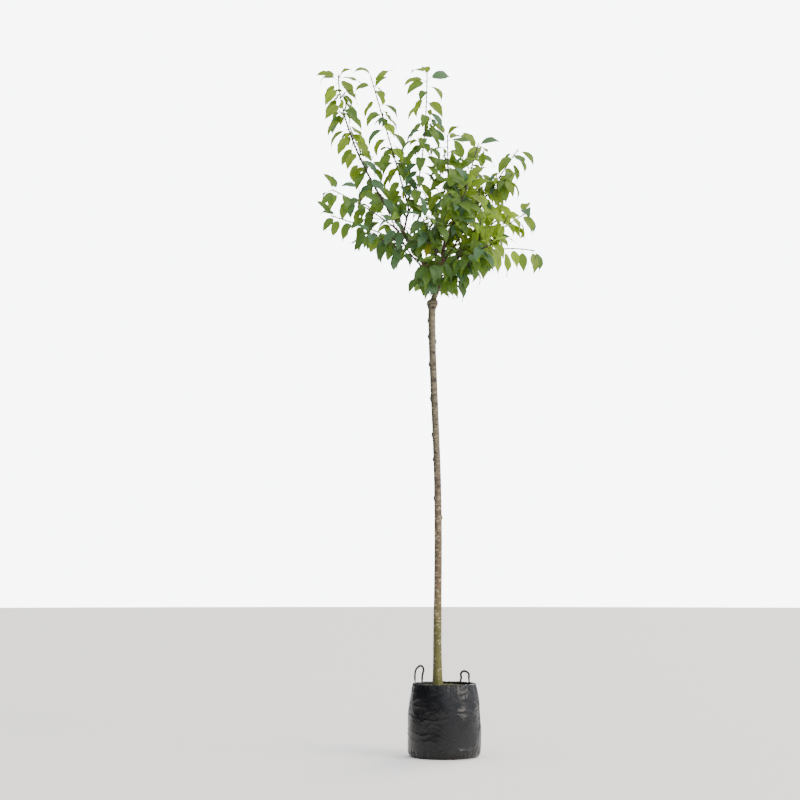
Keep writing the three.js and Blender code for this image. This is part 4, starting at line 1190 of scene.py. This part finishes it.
def leaf_form(name, fold, rise, fall, twist, wave):
    """One leaf, a unit long: a three-sided stalk and a blade with teeth and a raised rib."""
    points, faces, ribs = [], [], []
    fine = 200
    slopes = [radians(rise + (fall - rise) * (i / fine) ** 1.3) for i in range(fine + 1)]
    spine = [(0.0, 0.0)]
    for slope in slopes[:-1]:
        x, z = spine[-1]
        spine.append((x + cos(slope) / fine, z + sin(slope) / fine))

    def lie(share, y, z):
        """Carries a point of the flat leaf onto its arched and twisted midline."""
        i = round(share * fine)
        slope, turn = slopes[i], twist * max(share - STALK, 0) ** 1.5
        y, z = y * cos(turn) - z * sin(turn), y * sin(turn) + z * cos(turn)
        return spine[i][0] - z * sin(slope), y, spine[i][1] + z * cos(slope)

    for share in (0.0, 0.08, STALK):
        for k in range(3):
            a = 2 * pi * k / 3 + pi / 2
            points.append(lie(share, 0.008 * cos(a), 0.008 * sin(a)))
    for i in range(2):
        for k in range(3):
            a, b = i * 3 + k, i * 3 + (k + 1) % 3
            faces.append((a, b, b + 3, a + 3))
            ribs.append(True)
    first = len(points)
    for i, (share, half) in enumerate(BLADE):
        tooth = 1 + (0.05 if i % 2 else -0.03) * (0 < i < len(BLADE) - 1)
        wide = half * LEAF_WIDTH / 2
        for side in (1, 0.5, 0.06, -0.06, -0.5, -1):
            y = side * wide * (tooth if abs(side) == 1 else 1)
            ripple = wave * abs(side) * sin(11 * share + (2 if side > 0 else 0))
            lift = fold * abs(y) * (1 - 0.35 * abs(side)) + ripple + 0.006 * (abs(side) < 0.1)
            points.append(lie(STALK + (1 - STALK) * share, y, lift))
    for i in range(len(BLADE) - 1):
        for k in range(5):
            a = first + i * 6 + k
            faces.append((a, a + 1, a + 7, a + 6))
            ribs.append(k == 2)
    mesh = bpy.data.meshes.new(name)
    mesh.from_pydata(points, [], faces)
    mesh.attributes.new("rib", "BOOLEAN", "FACE").data.foreach_set("value", ribs)
    mesh.shade_smooth()
    return bpy.data.objects.new(name, mesh)


def leaf_finish(name, code, see_through):
    """A thin leaf: waxy above, and some of the light that falls on it comes through."""
    material, tree = finish_of(name)
    blade = node(tree, "ShaderNodeBsdfPrincipled", {
        "Base Color": paint(code), "Roughness": 0.5, "IOR": 1.42, "Specular IOR Level": 0.5,
    })["BSDF"]
    through = node(tree, "ShaderNodeBsdfTranslucent", {"Color": paint(see_through)})["BSDF"]
    both = node(tree, "ShaderNodeMixShader", {"Fac": 0.28, 1: blade, 2: through})
    node(tree, "ShaderNodeOutputMaterial", {"Surface": both["Shader"]})
    return material


# Painted light and shade: five copies of the leaf from the most shaded to the sunniest, then a
# bluer one with painted sky reflection and a yellowing one. Each has the blade's colour and
# that of light through it.
SHADES = [
    ("deep_green_leaves", "#33511d", "#507618"),
    ("mid_green_leaves", "#46651f", "#6a8e20"),
    ("fresh_green_leaves", "#557322", "#7c9e24"),
    ("light_green_leaves", "#66801c", "#90ac20"),
    ("sunlit_green_leaves", "#779618", "#a8c61e"),
    ("blue_green_leaves", "#46684a", "#5a8236"),
    ("yellowing_leaves", "#8c8c20", "#b0ac2c"),
]
SUNNIEST, PAINTED_REFLECTION, YELLOWING = 4, 5, 6


def shade_at(point, pick, waning):
    """Painted light of a spray by its place: sunlit at right and high up, painted shade and sky reflection
    in front.
    """
    x, y, z = point
    glow = hill(x - 270, 210) * hill(z - 2900, 240)
    height = np.clip((z - 2600) / 900, 0, 1)
    front = np.clip((60 - y) / 260, 0, 1) * np.clip((250 - x) / 200, 0, 1) * (1 - height)
    if pick() < 0.02 * waning:
        return YELLOWING
    if pick() < 0.1 + 0.3 * front:
        return PAINTED_REFLECTION
    lit = 0.24 + 0.75 * glow + 0.4 * height - 0.22 * front + 0.22 * (pick() - 0.5)
    return int(np.clip(lit * 4.8, 0, SUNNIEST))


leaf_middles = []
leaf_records = [[] for _ in SHADES]


def leaf(mass, shoot, slot, foot, along, out, size, young, shade):
    """Sets one leaf, with up to TRIES places to keep it in its mass's space."""
    draw = seeded(SEED + 5000 * mass.number + slot)
    for attempt in range(TRIES):
        loose = 0.45 + 0.35 * attempt
        swing = radians((draw() - 0.5) * 50 * loose)
        droop = mass.droop * (0.9 + 0.5 * loose * (draw() - 0.5)) - 0.8 * young
        roll = radians((draw() - 0.5) * 80 * loose)
        scale = size * (0.86 + 0.2 * draw())
        turned = rotated(out, along, swing)
        direction = unit(turned + along * (0.4 + 0.4 * young) - UP * droop)
        upper = rotated(square_to(turned * 0.7 + UP * 0.8 + LIGHT, direction), direction, roll)
        side = np.cross(direction, upper)
        length = REACH_LEAF * scale

        def at(share, across, rise):
            aside = side * across * length * LEAF_SPACE
            return foot + direction * share * length + aside + upper * rise * length

        middle = at(0.45, 0, 0.04)
        if leaf_middles:
            apart = np.linalg.norm(np.array(leaf_middles) - middle, axis=1)
            if (apart < LEAF_SPREAD * size).any():
                continue
        tests = [at(0.97, 0, -0.1), at(0.25, 0, 0.02)]
        for share, across, rise in ((0.53, 0.5, 0.085), (0.3, 0.28, 0.05), (0.76, 0.24, 0)):
            tests += [at(share, across, rise), at(share, -across, rise)]
        if not in_space(mass, np.array(tests), SPACE_LAP):
            continue
        leaf_middles.append(middle)
        step = 1 if draw() > 0.8 else -1 if draw() > 0.75 else 0
        tone = shade if shade > SUNNIEST else min(max(shade + step, 0), SUNNIEST)
        stalk_foot = foot + out * shoot.radius(0.5) * 0.6
        form = int(draw() * len(LEAF_FORMS))
        leaf_records[tone].append((stalk_foot, facing_of(direction, upper), scale, form))
        return


def dress(mass, shoot):
    """Leaves in a spiral along a shoot, and at its tip. Each takes its painted light and shade by its
    place.
    """
    count = max(int((shoot.length - shoot.bare) / shoot.spacing), 1)
    perk = min(max(PERK_DROOP - mass.droop, 0), 1)
    pick = seeded(SEED + 77 * mass.number + shoot.slot)

    def grow(number, t, scale, young):
        along, foot = shoot.curve.along(t), shoot.curve.at(t)
        turn = radians(shoot.phase + number * SPIRAL)
        out = rotated(square_to(shoot.curve.sideways, along), along, turn)
        out = square_to(out * SWUNG, along)
        shade = shade_at(foot, pick, shoot.kind == "sprig")
        size = shoot.size * scale * mass.leaf_size
        leaf(mass, shoot, shoot.slot + number, foot, along, out, size, young, shade)

    for k in range(4 if shoot.kind == "stem" else 1):
        grow(count + k, 0.985 - 0.015 * k, 0.95, TIP_PERK * perk)
    for j in range(count):
        t = (shoot.bare + (j + 0.3) * shoot.spacing) / shoot.length
        if t < 0.97:
            grow(j, t, 1, perk * max(0, 1 - (count - j) / PERK_LEAVES))


for fine in (False, True):
    for mass in masses:
        for shoot in mass.shoots:
            if (shoot.kind == "sprig") == fine:
                dress(mass, shoot)

leaf_forms = bpy.data.collections.new("leaf_forms")
for number, form in enumerate(LEAF_FORMS):
    leaf_forms.objects.link(leaf_form(f"leaf_form_{number}", *form))
# Ribs and stalks are one colour, paler than the blades and flushed with red
rib_finish = leaf_finish("leaf_rib_and_stalk", "#4c5c24", "#6c8028")
for (name, code, see_through), records in zip(SHADES, leaf_records):
    leaves = grown(name, carrier_of(name + "_points", records), set_out, {
        "Forms": leaf_forms, "Length": LEAF_LENGTH * MM, "Length Spread": 5 * MM, "Seed": 3,
        "Skin": leaf_finish(name + "_blade", code, see_through), "Rib": rib_finish,
    })
    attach(leaves, "root")
    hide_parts(*FOLIAGE)
for collection in (leaf_forms, bud_forms):
    for form in list(collection.objects):
        bpy.data.objects.remove(form)
    bpy.data.collections.remove(collection)


# Studio
# A plain pale floor inside a plain pale backdrop, which only shows behind the tree and sheds
# no light. Soft light comes from overhead, more of it from the right. A broad key light from
# the right and another from behind light the right half of the crown.
BACKDROP_RADIUS = 58
FLOOR_REACH = 60
PHOTO_SIDE = 800  # pixels
FOCAL_LENGTH = 1490  # the photo's, in its pixels
HORIZON_DROP = 186  # pixels from the photo's middle down to the camera's level


def stage_finish(name, kind, sockets):
    """A plain finish for the studio's own pieces."""
    material, tree = finish_of(name)
    node(tree, "ShaderNodeOutputMaterial", {"Surface": node(tree, kind, sockets)[0]})
    return material


floor_mesh = bpy.data.meshes.new("studio_floor")
floor_corners = [(a * FLOOR_REACH, b * FLOOR_REACH, 0) for a, b in ((-1, -1), (1, -1), (1, 1), (-1, 1))]
floor_mesh.from_pydata(floor_corners, [], [(0, 1, 2, 3)])
matt = {"Base Color": paint("#efebe6"), "Roughness": 0.8}
floor_finish = stage_finish("matt_pale_floor", "ShaderNodeBsdfPrincipled", matt)
floor = made_of("studio_floor", floor_mesh, floor_finish)

backdrop_mesh = bpy.data.meshes.new("studio_backdrop")
made = bmesh.new()
bmesh.ops.create_icosphere(made, subdivisions=5, radius=BACKDROP_RADIUS)
bmesh.ops.reverse_faces(made, faces=made.faces)
made.to_mesh(backdrop_mesh)
made.free()
backdrop_mesh.shade_smooth()
lit = {"Color": paint("#f1f3f8"), "Strength": 9}
backdrop_finish = stage_finish("lit_pale_backdrop", "ShaderNodeEmission", lit)
backdrop = made_of("studio_backdrop", backdrop_mesh, backdrop_finish)
for kind in ("diffuse", "glossy", "transmission", "volume_scatter", "shadow"):
    setattr(backdrop, "visible_" + kind, False)

world = bpy.data.worlds.new("studio_fill")
bpy.context.scene.world = world
world.use_nodes = True
dome = world.node_tree
dome.nodes.clear()
place = node(dome, "ShaderNodeTexCoord")["Generated"]
overhead = node(dome, "ShaderNodeVectorMath", {0: place, 1: (0.25, -0.12, 0.96)}, operation="DOT_PRODUCT")
above = node(
    dome, "ShaderNodeMapRange",
    {"Value": overhead["Value"], "From Min": 0.04, "From Max": 0.6, "To Min": 0.1, "To Max": 1.85},
    interpolation_type="SMOOTHSTEP",
)["Result"]
beside = node(dome, "ShaderNodeMapRange", {
    "Value": node(dome, "ShaderNodeSeparateXYZ", {"Vector": place})["X"], "From Min": -0.5, "To Max": 0.6,
})["Result"]
level = node(dome, "ShaderNodeMath", {0: above, 1: beside}, operation="ADD")["Value"]
fill = node(dome, "ShaderNodeBackground", {"Color": paint("#f0f3fa"), "Strength": level})["Background"]
node(dome, "ShaderNodeOutputWorld", {"Surface": fill})


def lamp_at(name, place, strength, colour, width):
    """A broad, far studio light that shines from a place past the crown: width is its angle."""
    lamp = bpy.data.lights.new(name, "SUN")
    lamp.angle = radians(width)
    lamp.energy = strength
    lamp.color = paint(colour)[:3]
    made = bpy.data.objects.new(name, lamp)
    made.location = place
    made.rotation_euler = (Vector((0, 0, 2)) - Vector(place)).to_track_quat("-Z", "Y").to_euler()
    bpy.context.collection.objects.link(made)


lamp_at("key_light", (5.0, -3.0, 5.2), 2.1, "#fff6e6", 35)
lamp_at("back_light", (2.6, 4.8, 5.0), 1.8, "#fff8ec", 30)

camera = bpy.data.cameras.new("camera")
camera.sensor_width = 36
camera.lens = 36 * FOCAL_LENGTH / PHOTO_SIDE
camera_object = bpy.data.objects.new("camera", camera)
camera_object.location = (-0.239, -8.2, 0.91)
camera_object.rotation_euler = (pi / 2 + atan(HORIZON_DROP / FOCAL_LENGTH), 0, 0)
bpy.context.collection.objects.link(camera_object)
bpy.context.scene.camera = camera_object
